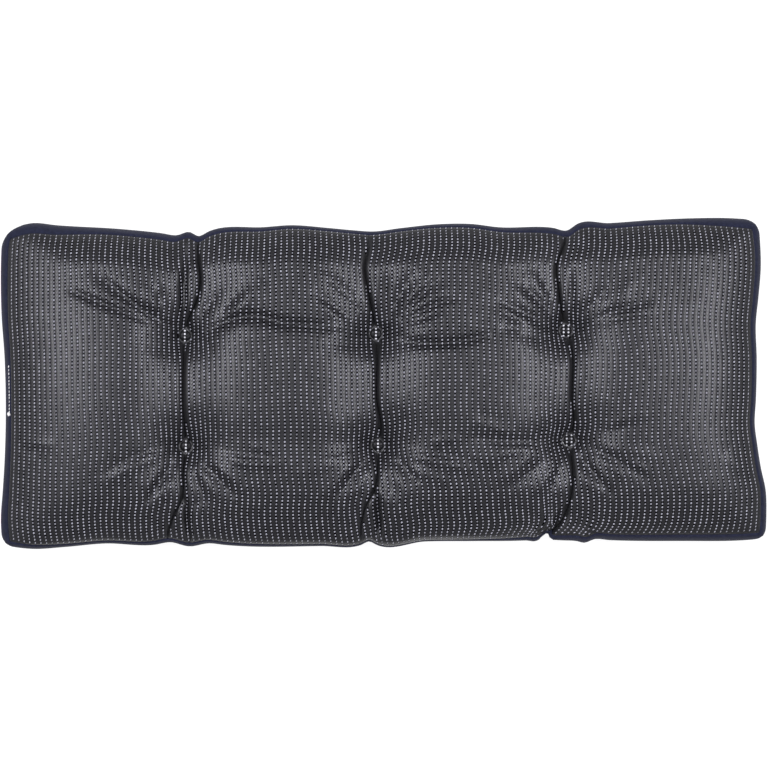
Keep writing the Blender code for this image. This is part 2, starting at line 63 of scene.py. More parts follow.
# ------------------------------------------------------------------ form of the filled cushion
GIRTH_HEIGHT = 0.037        # height of the widest line, where the edge turns under
FACE_HEIGHT = 0.094         # height of the filled face away from every pull
CROWN = 0.020               # the filling domes the face: this much lower beside the long edges
CROWN_REACH = 0.195
UNDER_ROLL = 0.036          # how far in from the outline the edge meets the surface below
UNDER_ROUNDNESS = 2.2       # superellipse power of that roll
SIDE_BLEND = 9.0            # how crisply neighbouring sides meet at the mitred corners
CREASE_WIDTH = 0.008        # how far from a valley its two sides roll over into it
CREASE_SHARE = 0.36         # share of a valley's depth that is in that roll
SHOULDER_WIDTH = 0.041      # gentle fall beyond it, each way
RELIEF_RISE = 1.15          # pulls and folds die out on the last of the climb to the outline
RELIEF_POWER = 1.4
TUFT_DEPTH = 0.008          # pull of a tuft below its valley
TUFT_REACH = 0.022          # how fast that pull dies away
TUFT_OPENING = 0.80         # a crease opens into a soft dimple at a tuft
TUFT_OPENING_REACH = 0.020
SEAT_RADIUS = 0.0082        # flat seat under a button
SEAT_BLEND = 0.0050         # and the short slope around it
SEAT_LIFT = 0.0024          # the cloth closes round the lower half of a button
UNDER_DIMPLE_DEPTH = 0.010  # the ties pull shallow dimples into the underside too
UNDER_DIMPLE_REACH = 0.021
UNDER_VALLEY_DEPTH = 0.004
UNDER_VALLEY_REACH = 0.010
UNDER_PULL_START = 0.0006   # a weaker pull leaves the underside on its rest
ROW_SAG = 0.0024            # the cloth sags a little along the rows of tufts
ROW_SAG_REACH = 0.024
ROW_SAG_END = 0.240         # the sag fades out beyond the outer tufts
ROW_SAG_FADE = 0.050
TUFT_ROWS = (0.060, -0.072)
FOLD_STEPS = 14
FOLD_TAPER = 0.75           # lower keeps a fold's height longer towards its two ends
FOLD_REACH = 3.2            # how many widths away a fold still counts
TROUGH_POWER = 1.5          # a trough is creased to an edge; a ridge is round
RIDGE_POWER = 2.0
LEAST_CLIMB = 1e-3
PLAN_PASSES = 4             # rounds in which rows and columns settle on each other
LENGTH = 0.916
SECTIONS = 4

# Each side turns over a narrow roll at the outline and then climbs a wide shoulder.
Side = namedtuple("Side", "roll_width roll_share shoulder_width shoulder_power")
SIDES = {
    "left": Side(roll_width=0.011, roll_share=0.40, shoulder_width=0.132, shoulder_power=2.5),
    "right": Side(roll_width=0.010, roll_share=0.50, shoulder_width=0.090, shoulder_power=2.2),
    "front": Side(roll_width=0.009, roll_share=0.58, shoulder_width=0.070, shoulder_power=2.0),
    "back": Side(roll_width=0.008, roll_share=0.44, shoulder_width=0.048, shoulder_power=1.65),
}
CORNER_RADII = {
    ("left", "back"): 0.026,
    ("right", "back"): 0.017,
    ("left", "front"): 0.015,
    ("right", "front"): 0.013,
}


def metres(*rows):
    """Rows of numbers in millimetres as a table in metres."""
    return np.array(rows) / 1000


# The back edge bows out over each section and nips in where a valley meets it (x, y).
BACK_EDGE = metres(
    (-459, 186), (-440, 189), (-421, 192.6), (-392, 190), (-315, 185.4), (-267, 180.6), (-248, 178),
    (-233, 182), (-222, 177), (-209, 183), (-142, 187.8), (-113, 190), (-65, 186.6), (-37, 184),
    (-13, 182.5), (21, 186.6), (69, 191.4), (107, 191.4), (136, 187.8), (203, 187), (221, 184),
    (232, 191.4), (271, 192.6), (319, 196), (376, 198.5), (415, 198.5), (443, 196.5), (459, 194),
)
FRONT_EDGE = metres(
    (-459, -194), (-449, -195.5), (-421, -198.5), (-382, -196.2), (-334, -192), (-275, -193.6),
    (-256, -190.5), (-233, -195.5), (-209, -191.8), (-190, -193.8), (-75, -195), (-27, -193.8),
    (-17, -189.5), (-8, -193.8), (50, -189.5), (107, -189), (170, -188.4), (186, -187.6),
    (194, -179.6), (201, -186.6), (211, -188), (232, -189.2), (241, -191.2), (252, -187), (271, -188),
    (357, -189), (434, -188), (459, -186),
)
# The short sides are drawn in at mid-depth (y, x).
LEFT_EDGE = metres(
    (-198, -457.5), (-160, -459), (-128, -456.6), (-90, -454.2), (30, -454.2), (84, -458), (125, -459),
    (198, -457.2),
)
RIGHT_EDGE = metres(
    (-198, 457), (-155, 459), (-128, 458), (-100, 452), (-75, 448), (-48, 444.6), (-20, 446),
    (30, 447), (72, 446), (105, 449.4), (135, 452), (198, 450),
)

# ------------------------------------------------------------------ valleys between the four sections
# From the front edge to the back edge through both tufts (y, x, depth).
VALLEYS = (
    metres(
        (-198, -257.4, 15), (-182, -257.4, 16), (-158, -250.2, 16), (-140, -240.6, 19),
        (-104, -238.2, 25), (-75, -235.8, 31), (-20, -238.2, 25), (28, -237.6, 27), (57, -237, 32),
        (76, -232.2, 29), (100, -221.4, 27), (124, -217.8, 24), (146, -220.2, 21), (177, -221.4, 18),
        (198, -221.4, 15),
    ),
    metres(
        (-198, -26.4, 12), (-176, -27, 15), (-143, -19.8, 16), (-128, -11.4, 19), (-98, -6.6, 24),
        (-74, -6, 31), (-50, -3, 28), (-20, -7.8, 25), (28, -7.8, 25), (59, -9, 31), (88, -13.8, 27),
        (112, -18.6, 24), (139, -22.2, 19), (160, -18.6, 14), (198, -19, 11),
    ),
    metres(
        (-198, 193, 24), (-181, 195, 24), (-171, 207, 22), (-149, 219, 21), (-128, 223.8, 21),
        (-86, 223.8, 27), (-68, 222, 31), (-50, 226.2, 29), (-20, 223.8, 25), (46, 222.6, 27),
        (63, 218, 32), (82, 213, 29), (112, 208.2, 25), (139, 205.8, 22), (166, 215.4, 19),
        (198, 220, 18),
    ),
)

# Each fold runs on a curve from its tuft or edge to its far end. A row holds its start (x, y), the point that
# bends it, its end, its width and its height, which is positive for a ridge and negative for a trough.
FOLDS = metres(
    # second crease beside each valley, and the small lobes between the two
    (-238.2, 66, -244, 108, -234, 176, 4, -9),
    (-239.4, -134, -235.8, -164, -233, -204, 3.6, -11),
    (-11.4, -128, -4, -154, -6.6, -196, 3.6, -11),
    (225, 70, 226.2, 110, 223.8, 146, 5, -5),
    (1, 78, 0, 106, 6.6, 139, 5, -3),
    # left section
    (-250, 66, -292, 84, -350, 139, 6.2, -6.6),
    (-276, 70, -326, 92, -381, 114, 4.6, -4.6),
    (-262, 79, -266, 100, -274, 124, 6.5, -2.8),
    (-243, 50, -262, 44, -290, 42, 13, -1.4),
    (-251, -90, -265, -116, -286, -145, 5, -5),
    (-254, -110, -262, -124, -266, -142, 8, 2.5),
    (-262, -130, -278, -148, -292, -170, 5, 1.3),
    (-256, -78, -292, -92, -340, -123, 8, 2.6),
    (-262, -78, -300, -84, -334, -108, 6, -2.5),
    # second section, back half
    (-223, 72, -212, 94, -193, 114, 6.5, -2.6),
    (-184, 79, -163, 98, -143, 124, 8, 2.8),
    (-214, 60, -165, 93, -124, 74, 5.5, -6.2),
    (-206, 44, -151, 72, -70, 48, 15, 2.4),
    (-38, 76, -58, 91, -88, 114, 5.2, -2.6),
    (-30, 92, -46, 110, -72, 133, 6.5, 2),
    (-42, 70, -60, 84, -80, 98, 5.5, 1.8),
    (-18, 52, -36, 50, -58, 43, 5, -1.8),
    # second section, front half
    (-190, -86, -166, -99, -110, -94, 6.5, 2.6),
    (-212, -88, -187, -106, -162, -132, 7, 2.5),
    (-219, -94, -199, -110, -177, -138, 6, -3.4),
    (-228, -97, -212, -116, -191, -145, 8.5, 2.2),
    (-34, -84, -58, -95, -100, -107, 6.5, 1.3),
    (-30, -87, -52, -110, -77, -144, 7, 2.4),
    (-20, -90, -38, -110, -56, -138, 5.5, -4.2),
    # third section, back half
    (5, 74, 14, 100, 39, 137, 8, -4.8),
    (17, 76, 41, 103, 68, 130, 5, -3.6),
    (24, 78, 50, 98, 80, 115, 6, 2),
    (22, 72, 50, 93, 98, 105, 4.8, -3.6),
    (24, 67, 56, 87, 90, 99, 6, 2.2),
    (15, 60, 56, 63, 108, 79, 7.5, 1.6),
    (18, 51, 78, 41, 130, 60, 5, -6),
    (200, 71, 166, 83, 134, 102, 5, -2.6),
    (195, 66, 164, 74, 131, 94, 5.5, 2),
    (199, 79, 170, 96, 148, 119, 7, 2),
    (203, 83, 186, 97, 165, 121, 5, -2.4),
    (128, 56, 158, 50, 190, 38, 10, 1.2),
    # third section, front half
    (99, -44, 128, -52, 160, -61, 6.5, 1.2),
    (103, -64, 140, -70, 206, -70, 5.5, -2.6),
    (206, -84, 152, -80, 92, -92, 12, 4),
    (178, -86, 158, -104, 135, -117, 7.5, 2.4),
    (210, -91, 197, -108, 183, -134, 5.5, 2.5),
    (10, -82, 56, -89, 112, -104, 6.5, 2.4),
    (15, -91, 26, -100, 42, -120, 6, -3.4),
    (9, -97, 20, -116, 32, -140, 10, 2.8),
    # right section
    (228, 76, 258, 96, 284, 140, 7.5, -3),
    (250, 76, 282, 88, 324, 102, 5, -2.6),
    (262, 72, 290, 80, 328, 90, 6.5, 1.8),
    (253, -60, 290, -54, 328, -43, 7, -1.2),
    (252, -75, 284, -77, 333, -89, 7.5, 1.4),
    (247, -78, 278, -87, 321, -119, 5.5, -2.2),
    (243, -86, 260, -104, 276, -124, 6, 1.8),
    (232, -85, 250, -104, 277, -138, 5.2, -4),
    (231, -101, 246, -116, 264, -138, 9, 2.2),
    (408, -84, 424, -98, 441, -110, 9, 2.4),
)

# Finer folds that only the cover shows.
FINE_FOLDS = metres(
    # left section
    (-270.6, 83.4, -277.8, 100.2, -285, 118.2, 6, 2),
    (-274.2, -103.8, -281.4, -118.8, -288.6, -133.8, 6, 1.5),
    (-436.2, -69, -413.4, -72, -390.6, -75, 6, 1.5),
    (-443.4, -79.8, -424.7, -80.4, -406, -81, 5, -1.5),
    # second section
    (-202.2, 73.8, -189, 90.6, -168.6, 114.6, 6, -2),
    (-154, 79, -112, 68, -60, 69, 6.5, -5.8),
    (-76.2, 58.2, -51, 59.4, -25.8, 60.6, 6, 2),
    (-25.8, 85.8, -46.2, 100, -73.8, 124, 5, -1.5),
    (-64, 120.6, -78.5, 130.8, -93, 141, 6, 1.2),
    (-220.2, -82.2, -202.2, -82.8, -184.2, -83.4, 5, 1),
    (-202.2, -76.2, -172, -89.4, -118, -87, 6, -1.5),
    (-229.8, -99, -222, -122, -213, -145.8, 4, -2),
    (-232.2, -109.8, -227.4, -126, -222.6, -142.2, 5, 2),
    (-157.8, -71.4, -142.2, -82.2, -118.2, -82.2, 6, 1.5),
    (-22.2, -77.4, -49.2, -81.6, -76.2, -85.8, 6, 1.5),
    (-30.6, -83.4, -50.4, -88.2, -70.2, -93, 4, -1.5),
    (-15, -101.4, -28.2, -120.6, -46.2, -143.4, 8, 2),
    # third section
    (19.8, 82.2, 36.6, 109.8, 58.2, 133.8, 5, 2),
    (22.2, 64.2, 51, 71.4, 79.8, 78.6, 4, -1.5),
    (197.4, 63, 179.4, 64.2, 161.4, 65.4, 5, 2),
    (163.8, 66.6, 151.8, 67.2, 139.8, 67.8, 6, -2),
    (199.8, 94.2, 185.4, 112.2, 175.8, 136.2, 8, 2),
    (203.4, 100.2, 193.8, 117, 184.2, 133.8, 4, -1.5),
    (109.8, -37.8, 126.6, -39.6, 143.4, -41.4, 6, -1),
    (55.8, -70.2, 75, -67.8, 94.2, -65.4, 5, 1.5),
    (169.8, -82.2, 154.8, -88.2, 139.8, -94.2, 4, -2),
    (193.8, -89.4, 172.8, -108.6, 151.8, -127.8, 5, -1.5),
    (214.2, -94.2, 207, -112.2, 199.8, -130.2, 4, -1.5),
    (43.8, -79.8, 80, -86, 115.8, -96.6, 6, -2),
    (19.8, -94.2, 43.8, -108.6, 75, -118.2, 6, 1.5),
    (-0.6, -127.8, 3.6, -138.6, 7.8, -149.4, 5, 1.5),
    (220, -144, 208, -168, 196, -202, 5, -11),
    # right section
    (265.8, 90.6, 283.8, 102.6, 298.2, 126.6, 8, 1.5),
    (265.8, 71.4, 291.6, 74.4, 317.4, 77.4, 4, -1.5),
    (265.8, -49.8, 289.8, -41.4, 313.8, -33, 6, 0.7),
    (286.2, -89.4, 301.8, -97.2, 317.4, -105, 5, 1.5),
    (247.8, -82.2, 269.4, -96.6, 287.4, -114.6, 5, 2),
)

# ------------------------------------------------------------------ cover
# How far in from the outline the face is seamed to the back cloth (place along the side, inset).
SEAM_INSET = {
    "left": metres(
        (-198, 12), (-160, 10.8), (120, 10.8), (170, 11.5), (198, 14),
    ),
    "right": metres(
        (-198, 10.5), (-160, 9.5), (120, 9.5), (170, 10), (198, 12),
    ),
    "front": metres(
        (-459, 8.5), (-420, 5.6), (-250, 4.8), (180, 4.6), (230, 7), (300, 8), (459, 9),
    ),
    "back": metres(
        (-459, 15), (-400, 12.5), (-350, 9), (-240, 8), (-180, 6.2), (120, 5.6), (190, 7.5),
        (360, 7.6), (410, 11), (459, 13),
    ),
}
# The third cloth is a near-black material, painted shade in the stitched grooves.
COVER_CLOTHS = ("face", "back", "groove")   # order of the cover's materials
SEAM_DEPTH = 0.0013         # the seam sinks between the face and the back cloth
LAY_COLUMNS = 800           # fine grid on which the cloth's lengths are measured
LAY_ROWS = 300
LAY_REACH = 0.022           # ribs bend slowly: their spacing is a mean over this far along them
FOLD_PLACE = 0.988          # folds stand nearer to the camera than the outline, so they look further out
STEPS_PER_RIB = 3
STEPS_PER_STITCH = 2
# Rings of the back cloth from the seam out to the widest line, as shares of the seam's inset.
BORDER_RINGS = (0.90, 0.72, 0.50, 0.28, 0.10)
BORDER_PUFF = 0.0004
# Rings below the widest line, inward to the flat underside (metres in from the outline).
UNDER_RINGS = (0.0012, 0.0050, 0.0120, 0.0220, 0.0360)
RING_STEP = 2               # steps of the face's edge to one step of such a ring
UNDER_CELL = 3              # ring steps to one side of an underside cell
RELIEF_FADE = 0.010         # ribs flatten out over this length before the seam
LINE_HALF = 0.19            # half width of a stitched line's groove, in ribs
STITCH_PLACE = 0.25         # place of a stitch in its pitch; the gap lies half a pitch further on
HATCH_SLOPE = 2.0           # how many stitches the twill steps climb over one rib

# ------------------------------------------------------------------ raised stitches
STITCH_SIDES = 6
STITCH_RINGS = 4
UNIT_RADIUS = 0.5           # a stitch starts as a ball one metre wide and is then scaled to its size
STITCH_SEED = 11
STITCH_LEAN = 0.30          # slope of a stitch against its rib
STITCH_RISE = 0.25          # a stitch's middle stands this share of its height above the cloth
STITCH_FADE = 0.016         # the stitches are pulled thin over this length before the seam
STITCH_THINNEST = 0.5       # share of its thickness that a stitch keeps there
STITCH_UNEVEN = (0.93, 1.07)
VALLEY_CLEAR = 0.010        # share of a section beside a valley where the crease hides the stitches
STITCH_GROUPS = ("left", "middle_left", "middle_right", "right")

# ------------------------------------------------------------------ buttons
BUTTON_SIDES = 48
BUTTON_RINGS = 14
BUTTON_WAIST = 0.30         # share of its height at which a button is widest
BUTTON_FOOT = 0.86          # width of its foot, as a share of that
BUTTON_DOME = 0.9           # under 1 its dome is fuller than a ball
BUTTON_PLEATS = 15          # pleats of the cloth round its side
BUTTON_PLEAT_DEPTH = 0.00022
BUTTON_PLEAT_FADE = 6       # how fast they flatten towards its middle
BUTTON_CLOTH_START = 10     # whole ribs and stitches before its middle keep the pattern's counts positive
# Stitch columns on each button, as shares of the rib pitch to the side of its middle.
BUTTON_COLUMNS = {
    "button_left_back": (0.0,),
    "button_left_front": (0.0,),
    "button_middle_back": (0.0,),
    "button_middle_front": (0.0,),
    "button_right_back": (-0.42, 0.42),
    "button_right_front": (-0.42, 0.42),
}
BUTTON_STITCHES = 4
BUTTON_STITCH_SPACING = 0.93    # share of the face's stitch pitch
BUTTON_STITCH_END = 0.97    # a stitch stands no lower than the dome does at this share of its radius
BUTTON_STITCH_UP = 0.3      # a stitch faces up more than the dome does
BUTTON_STITCH_SIZE = 1.2

# ------------------------------------------------------------------ closing stitches
CLOSING_START = 0.0198      # Y of the first stitch, on the left seam
CLOSING_END = -0.0342
CLOSING_STITCHES = 14
CLOSING_OUT = 0.0016        # how far outside the seam the stitches lie
CLOSING_RISE = 0.0003       # and how far above the cloth
CLOSING_STRAY = 0.0004      # sewn by hand, each stitch strays this far along the seam,
CLOSING_LEAN = (0.1, 0.5)   # leans by this slope
CLOSING_UNEVEN = (0.6, 1.1)     # and has this share of its thickness
CLOSING_STITCH = (0.0031, 0.0014, 0.0012)   # length, width and height of one
CLOSING_SEED = 5
SLOPE_STEP = 0.0004         # the slope of the cloth is read this far to each side
KNOT_BEYOND = 0.0024        # place of the knot beyond the last stitch
KNOT_RISE = 0.0009
KNOT_LOOPS = 3
KNOT_RADIUS = 0.0019
KNOT_SWING = 0.38           # share of its radius by which the thread swings in and out
KNOT_FLATNESS = 0.35        # height of its loops for their radius
KNOT_STEPS = 60
THREAD_RADIUS = 0.00075
THREAD_SIDES = 8

# ------------------------------------------------------------------ patterns of the materials
FLOATS_PER_PITCH = (5.0, 2.4, 1.0)  # floats of 1.4 by 1.8 mm: so many to a rib and to a stitch
THREAD_ENDS_PER_METRE = 900.0       # 1.1 mm each, twice as coarse as they are, so that they show
SLUBS_PER_METRE = 260.0     # 3.8 mm each
TWIST_SCALE = 700.0         # bands of the thread's twist about 0.5 mm apart
CLOUDS_PER_METRE = 3.0      # faint clouds of 0.3 m in the opal acrylic

# ------------------------------------------------------------------ studio
VIEW_WIDTH = 0.9216         # width of the picture on the level of the widest line
CAMERA_LENS = 120.0
CAMERA_SENSOR = 36.0
CAMERA_CENTRE = (0.0006, -0.0006)
FLOOR_SIZE = 60.0
FLOOR_DROP = 0.0004
SOFTBOX_PLACE = {"left": (-1.10, 0.34, 1.80), "right": (1.10, 0.24, 1.82)}
SOFTBOX_LEAN = {"left": 11.0, "right": 8.0}
SOFTBOX_TURN = {"left": -31.0, "right": 31.0}
SOFTBOX_SIZE = (0.5, 1.0)
SOFTBOX_POWER = {"left": 28.5, "right": 29.5}
SOFTBOX_COLOUR = (0.93, 0.93, 1.0)
WORLD_STRENGTH = 0.38
WORLD_COLOUR = (0.92, 0.91, 1.0, 1.0)


# ------------------------------------------------------------------ settings a user may change
def linear(code):
    """Linear colour of an sRGB hex code such as "#2a2b30"."""
    parts = [int(code[k:k + 2], 16) / 255 for k in (1, 3, 5)]
    return [c / 12.92 if c <= 0.04045 else ((c + 0.055) / 1.055) ** 2.4 for c in parts] + [1.0]


class ClothSizes(bpy.types.PropertyGroup):
    rib_pitch: bpy.props.FloatProperty(
        name="Rib pitch", description="Distance from one rib of the cloth to the next",
        default=0.0069, unit="LENGTH", precision=4)
    stitch_pitch: bpy.props.FloatProperty(
        name="Stitch pitch", description="Distance between raised stitches along a rib",
        default=0.00435, unit="LENGTH", precision=4)
    rib_relief: bpy.props.FloatProperty(
        name="Rib relief", description="How far a rib stands above its stitched line",
        default=0.0008, unit="LENGTH", precision=5)
    stitch_length: bpy.props.FloatProperty(
        name="Stitch length", description="Length of one raised stitch",
        default=0.0026, unit="LENGTH", precision=4)
    stitch_width: bpy.props.FloatProperty(
        name="Stitch width", description="Width of one raised stitch",
        default=0.0022, unit="LENGTH", precision=4)
    stitch_height: bpy.props.FloatProperty(
        name="Stitch height", description="Height of one raised stitch",
        default=0.0013, unit="LENGTH", precision=4)


class CushionColours(bpy.types.PropertyGroup):
    ground: bpy.props.FloatVectorProperty(
        name="Ground", description="Charcoal ground of the ribbed cloth",
        default=linear("#0f0f12"), size=4, subtype="COLOR")
    # Painted shade: near black, for the shadow in the grooves under the raised stitches.
    groove: bpy.props.FloatVectorProperty(
        name="Groove", description="Shaded thread ends in the groove under the raised stitches",
        default=linear("#050506"), size=4, subtype="COLOR")
    yarn: bpy.props.FloatVectorProperty(
        name="Yarn", description="Grey yarn of the raised stitches",
        default=linear("#9c9ca4"), size=4, subtype="COLOR")
    back: bpy.props.FloatVectorProperty(
        name="Back cloth", description="Plain navy-black cloth of the back panel",
        default=linear("#1f2234"), size=4, subtype="COLOR")
    # Painted highlight: a lighter copy of the yarn for the stitches on the buttons.
    lit_button_yarn: bpy.props.FloatVectorProperty(
        name="Button yarn", description="Yarn of the stitches that are stretched over a button",
        default=linear("#dcdce0"), size=4, subtype="COLOR")
    closing: bpy.props.FloatVectorProperty(
        name="Closing thread", description="Pale thread of the hand-sewn closing",
        default=linear("#f2f1ee"), size=4, subtype="COLOR")
    floor: bpy.props.FloatVectorProperty(
        name="Floor", description="Opal acrylic of the light table, as it takes light from above",
        default=linear("#808080"), size=4, subtype="COLOR")
    floor_glow: bpy.props.FloatVectorProperty(
        name="Floor glow", description="Light that the table gives from below",
        default=linear("#f7f7f7"), size=4, subtype="COLOR")


# ------------------------------------------------------------------ form
def read_curve(table, column, at):
    """Smooth curve through one column of a table, read at places along its first column."""
    known, values = table[:, 0], table[:, column]
    slopes = np.gradient(values, known)
    left = np.clip(np.searchsorted(known, at) - 1, 0, len(known) - 2)
    span = known[left + 1] - known[left]
    t = np.clip((at - known[left]) / span, 0.0, 1.0)
    from_left = (1 + 2 * t) * (1 - t) ** 2 * values[left] + t * (1 - t) ** 2 * span * slopes[left]
    right_slope = t * t * (t - 1) * span * slopes[left + 1]
    return from_left + t * t * (3 - 2 * t) * values[left + 1] + right_slope


def seam_inset(side, at):
    return read_curve(SEAM_INSET[side], 1, at)


def plan(across, depth, inset):
    """Square-cornered plan: sections run from 0 to 4 across, the depth from 0 in front to 1 behind.

    inset gives how far in from the outline the plan ends, for a side and places along it.
    """
    section = np.minimum(across.astype(int), SECTIONS - 1)
    x = (across / SECTIONS - 0.5) * LENGTH
    for _ in range(PLAN_PASSES):
        front = read_curve(FRONT_EDGE, 1, x) + inset("front", x)
        back = read_curve(BACK_EDGE, 1, x) - inset("back", x)
        y = front + (back - front) * depth
        lines = [read_curve(LEFT_EDGE, 1, y) + inset("left", y)]
        lines += [read_curve(valley, 1, y) for valley in VALLEYS]
        lines.append(read_curve(RIGHT_EDGE, 1, y) - inset("right", y))
        low = np.choose(section, lines[:-1])
        high = np.choose(section, lines[1:])
        x = low + (high - low) * (across - section)
    return x, y


def edge_gaps(x, y):
    """Distance of each plan point from the four edges."""
    return {
        "left": np.maximum(x - read_curve(LEFT_EDGE, 1, y), 0),
        "right": np.maximum(read_curve(RIGHT_EDGE, 1, y) - x, 0),
        "front": np.maximum(y - read_curve(FRONT_EDGE, 1, x), 0),
        "back": np.maximum(read_curve(BACK_EDGE, 1, x) - y, 0),
    }


def round_corners(x, y):
    """Pull the square corners in to quarter circles."""
    gaps = edge_gaps(x, y)
    x, y = x.copy(), y.copy()
    for (side, end), radius in CORNER_RADII.items():
        u = np.clip(1 - gaps[side] / radius, 0, 1)
        v = np.clip(1 - gaps[end] / radius, 0, 1)
        inward_x = 1 if side == "left" else -1
        inward_y = 1 if end == "front" else -1
        x += inward_x * radius * u * (1 - np.sqrt(1 - v * v / 2))
        y += inward_y * radius * v * (1 - np.sqrt(1 - u * u / 2))
    return x, y


def fullness(gaps):
    """How far the face has climbed from the outline, 0 at the girth and 1 on the full face."""
    total = 0.0
    for name, side in SIDES.items():
        roll = np.clip(gaps[name] / side.roll_width, 0, 1)
        shoulder = np.clip(gaps[name] / side.shoulder_width, 0, 1)
        climb = side.roll_share * np.sqrt(1 - (1 - roll) ** 2)
        climb += (1 - side.roll_share) * (1 - (1 - shoulder) ** side.shoulder_power)
        total = total + np.maximum(climb, LEAST_CLIMB) ** -SIDE_BLEND
    return (total - len(SIDES) + 1) ** (-1 / SIDE_BLEND)


def tuft_centres():
    """Middle of each button in the frame (x, y)."""
    boxes = [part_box(name) for name in BUTTON_COLUMNS]
    return [((low.x + high.x) / 2, (low.y + high.y) / 2) for low, high in boxes]


def seat_heights():
    return [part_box(name)[0].z for name in BUTTON_COLUMNS]


def valley_drop(x, y):
    """Depth below the full face of the three valleys, sharp in the middle and rounded outside."""
    drop = np.zeros_like(x)
    from_tuft = np.minimum.reduce([np.hypot(x - at[0], y - at[1]) for at in tuft_centres()])
    crease_share = CREASE_SHARE * (1 - TUFT_OPENING * np.exp(-(from_tuft / TUFT_OPENING_REACH) ** 2))
    for valley in VALLEYS:
        away = np.abs(x - read_curve(valley, 1, y))
        inside = 1 - np.clip(away / CREASE_WIDTH, 0, 1)
        sharp = crease_share * (1 - np.sqrt(1 - inside ** 2))
        rounded = (1 - crease_share) * np.exp(-(away / SHOULDER_WIDTH) ** 2)
        drop += read_curve(valley, 2, y) * (sharp + rounded)
    return drop


def tuft_drop(x, y):
    """Extra pull of the tufts, and the sag of the cloth along their rows."""
    drop = np.zeros_like(x)
    for centre_x, centre_y in tuft_centres():
        away = np.maximum(np.hypot(x - centre_x, y - centre_y) - SEAT_RADIUS, 0)
        drop += TUFT_DEPTH * np.exp(-away / TUFT_REACH)
    beyond = np.maximum(np.abs(x) - ROW_SAG_END, 0) / ROW_SAG_FADE
    for row in TUFT_ROWS:
        drop += ROW_SAG * np.exp(-((y - row) / ROW_SAG_REACH) ** 2 - beyond ** 2)
    return drop


def fold_height(x, y, fold):
    """Height of one fold: a soft bell across its curve, tapered at both ends."""
    t = np.linspace(0, 1, FOLD_STEPS)[:, None]
    start, bend, end, (width, top) = fold.reshape(4, 2)
    curve = FOLD_PLACE * ((1 - t) ** 2 * start + 2 * t * (1 - t) * bend + t * t * end)
    reach = FOLD_REACH * width
    low, high = curve.min(axis=0) - reach, curve.max(axis=0) + reach
    near = (x > low[0]) & (x < high[0]) & (y > low[1]) & (y < high[1])
    height = np.zeros_like(x)
    if not near.any():
        return height
    spots = np.stack([x[near], y[near]], axis=-1)
    best, along = np.full(len(spots), np.inf), np.zeros(len(spots))
    for k in range(FOLD_STEPS - 1):
        step = curve[k + 1] - curve[k]
        part = np.clip((spots - curve[k]) @ step / (step @ step), 0, 1)
        distance = np.linalg.norm(spots - curve[k] - part[:, None] * step, axis=1)
        closer = distance < best
        best[closer], along[closer] = distance[closer], (k + part[closer]) / (FOLD_STEPS - 1)
    taper = np.sin(pi * np.clip(along, 0, 1)) ** FOLD_TAPER
    power = RIDGE_POWER if top > 0 else TROUGH_POWER
    height[near] = top * taper * np.exp(-(best / width) ** power)
    return height


def face_height(x, y, folds=(*FOLDS, *FINE_FOLDS)):
    """Height of the face over the square-cornered plan."""
    full = fullness(edge_gaps(x, y))
    relief = -valley_drop(x, y) - tuft_drop(x, y)
    for fold in folds:
        relief += fold_height(x, y, fold)
    fade = np.clip(full * RELIEF_RISE, 0, 1) ** RELIEF_POWER
    rise = FACE_HEIGHT - CROWN * (y / CROWN_REACH) ** 2 - GIRTH_HEIGHT
    height = GIRTH_HEIGHT + rise * full + relief * fade
    for (centre_x, centre_y), seat in zip(tuft_centres(), seat_heights()):
        away = np.hypot(x - centre_x, y - centre_y)
        flat = np.clip((SEAT_RADIUS + SEAT_BLEND - away) / SEAT_BLEND, 0, 1)
        flat = flat * flat * (3 - 2 * flat)
        height += (seat + SEAT_LIFT - height) * flat
    return height


def under_height(x, y):
    """Height of the underside: a rounded edge, then flat, with shallow pulls at the ties."""
    height = np.zeros_like(x)
    nearest = np.minimum.reduce(list(edge_gaps(x, y).values()))
    out = 1 - np.clip(nearest / UNDER_ROLL, 0, 1)
    roll = GIRTH_HEIGHT * (1 - (1 - out ** UNDER_ROUNDNESS) ** (1 / UNDER_ROUNDNESS))
    for valley in VALLEYS:
        away = np.abs(x - read_curve(valley, 1, y))
        height += UNDER_VALLEY_DEPTH * np.exp(-(away / UNDER_VALLEY_REACH) ** 2)
    for centre_x, centre_y in tuft_centres():
        away = np.hypot(x - centre_x, y - centre_y)
        height += UNDER_DIMPLE_DEPTH * np.exp(-(away / UNDER_DIMPLE_REACH) ** 2)
    lift = np.maximum(height - UNDER_PULL_START, 0)
    return roll + lift * (1 - out)


# ------------------------------------------------------------------ laying the cloth
def rib_columns(count):
    """Places of the columns, in ribs: one on each side of a groove and one on the rib between two."""
    columns = np.arange(count)[:, None] + (LINE_HALF, 0.5, 1 - LINE_HALF)
    return np.concatenate([[0.0], columns.ravel()[:-1], [count]])


def stitch_rows(count):
    """Places of the rows, in stitches: a stitch fills the first half of its pitch and a gap the second."""
    return np.arange(count * STEPS_PER_STITCH + 1) / STEPS_PER_STITCH


def even_out(sheet, pitch, multiple, places):
    """Lay the points of each row at the given places along its cloth, counted in pitches.

    sheet holds the channels across, depth, x, y and z. The count of pitches is a multiple of the given one.
    """
    x, y, z = sheet[2:]
    lengths = np.sqrt(np.diff(x) ** 2 + np.diff(y) ** 2 + np.diff(z) ** 2)
    run = np.concatenate([np.zeros((len(x), 1)), np.cumsum(lengths, axis=1)], axis=1)
    count = multiple * round(float(run[:, -1].mean()) / pitch / multiple)
    wanted = places(count) / count
    number = np.arange(len(x))
    spacing = np.hypot(np.diff(x, axis=0), np.diff(y, axis=0)).mean()
    weight = np.exp(-((number[:, None] - number) * spacing / LAY_REACH) ** 2)
    shares = weight @ (run / run[:, -1:]) / weight.sum(axis=1, keepdims=True)
    evened = np.empty((len(sheet), len(x), len(wanted)))
    for row in range(len(x)):
        for channel in range(len(sheet)):
            evened[channel, row] = np.interp(wanted, shares[row], sheet[channel, row])
    return evened


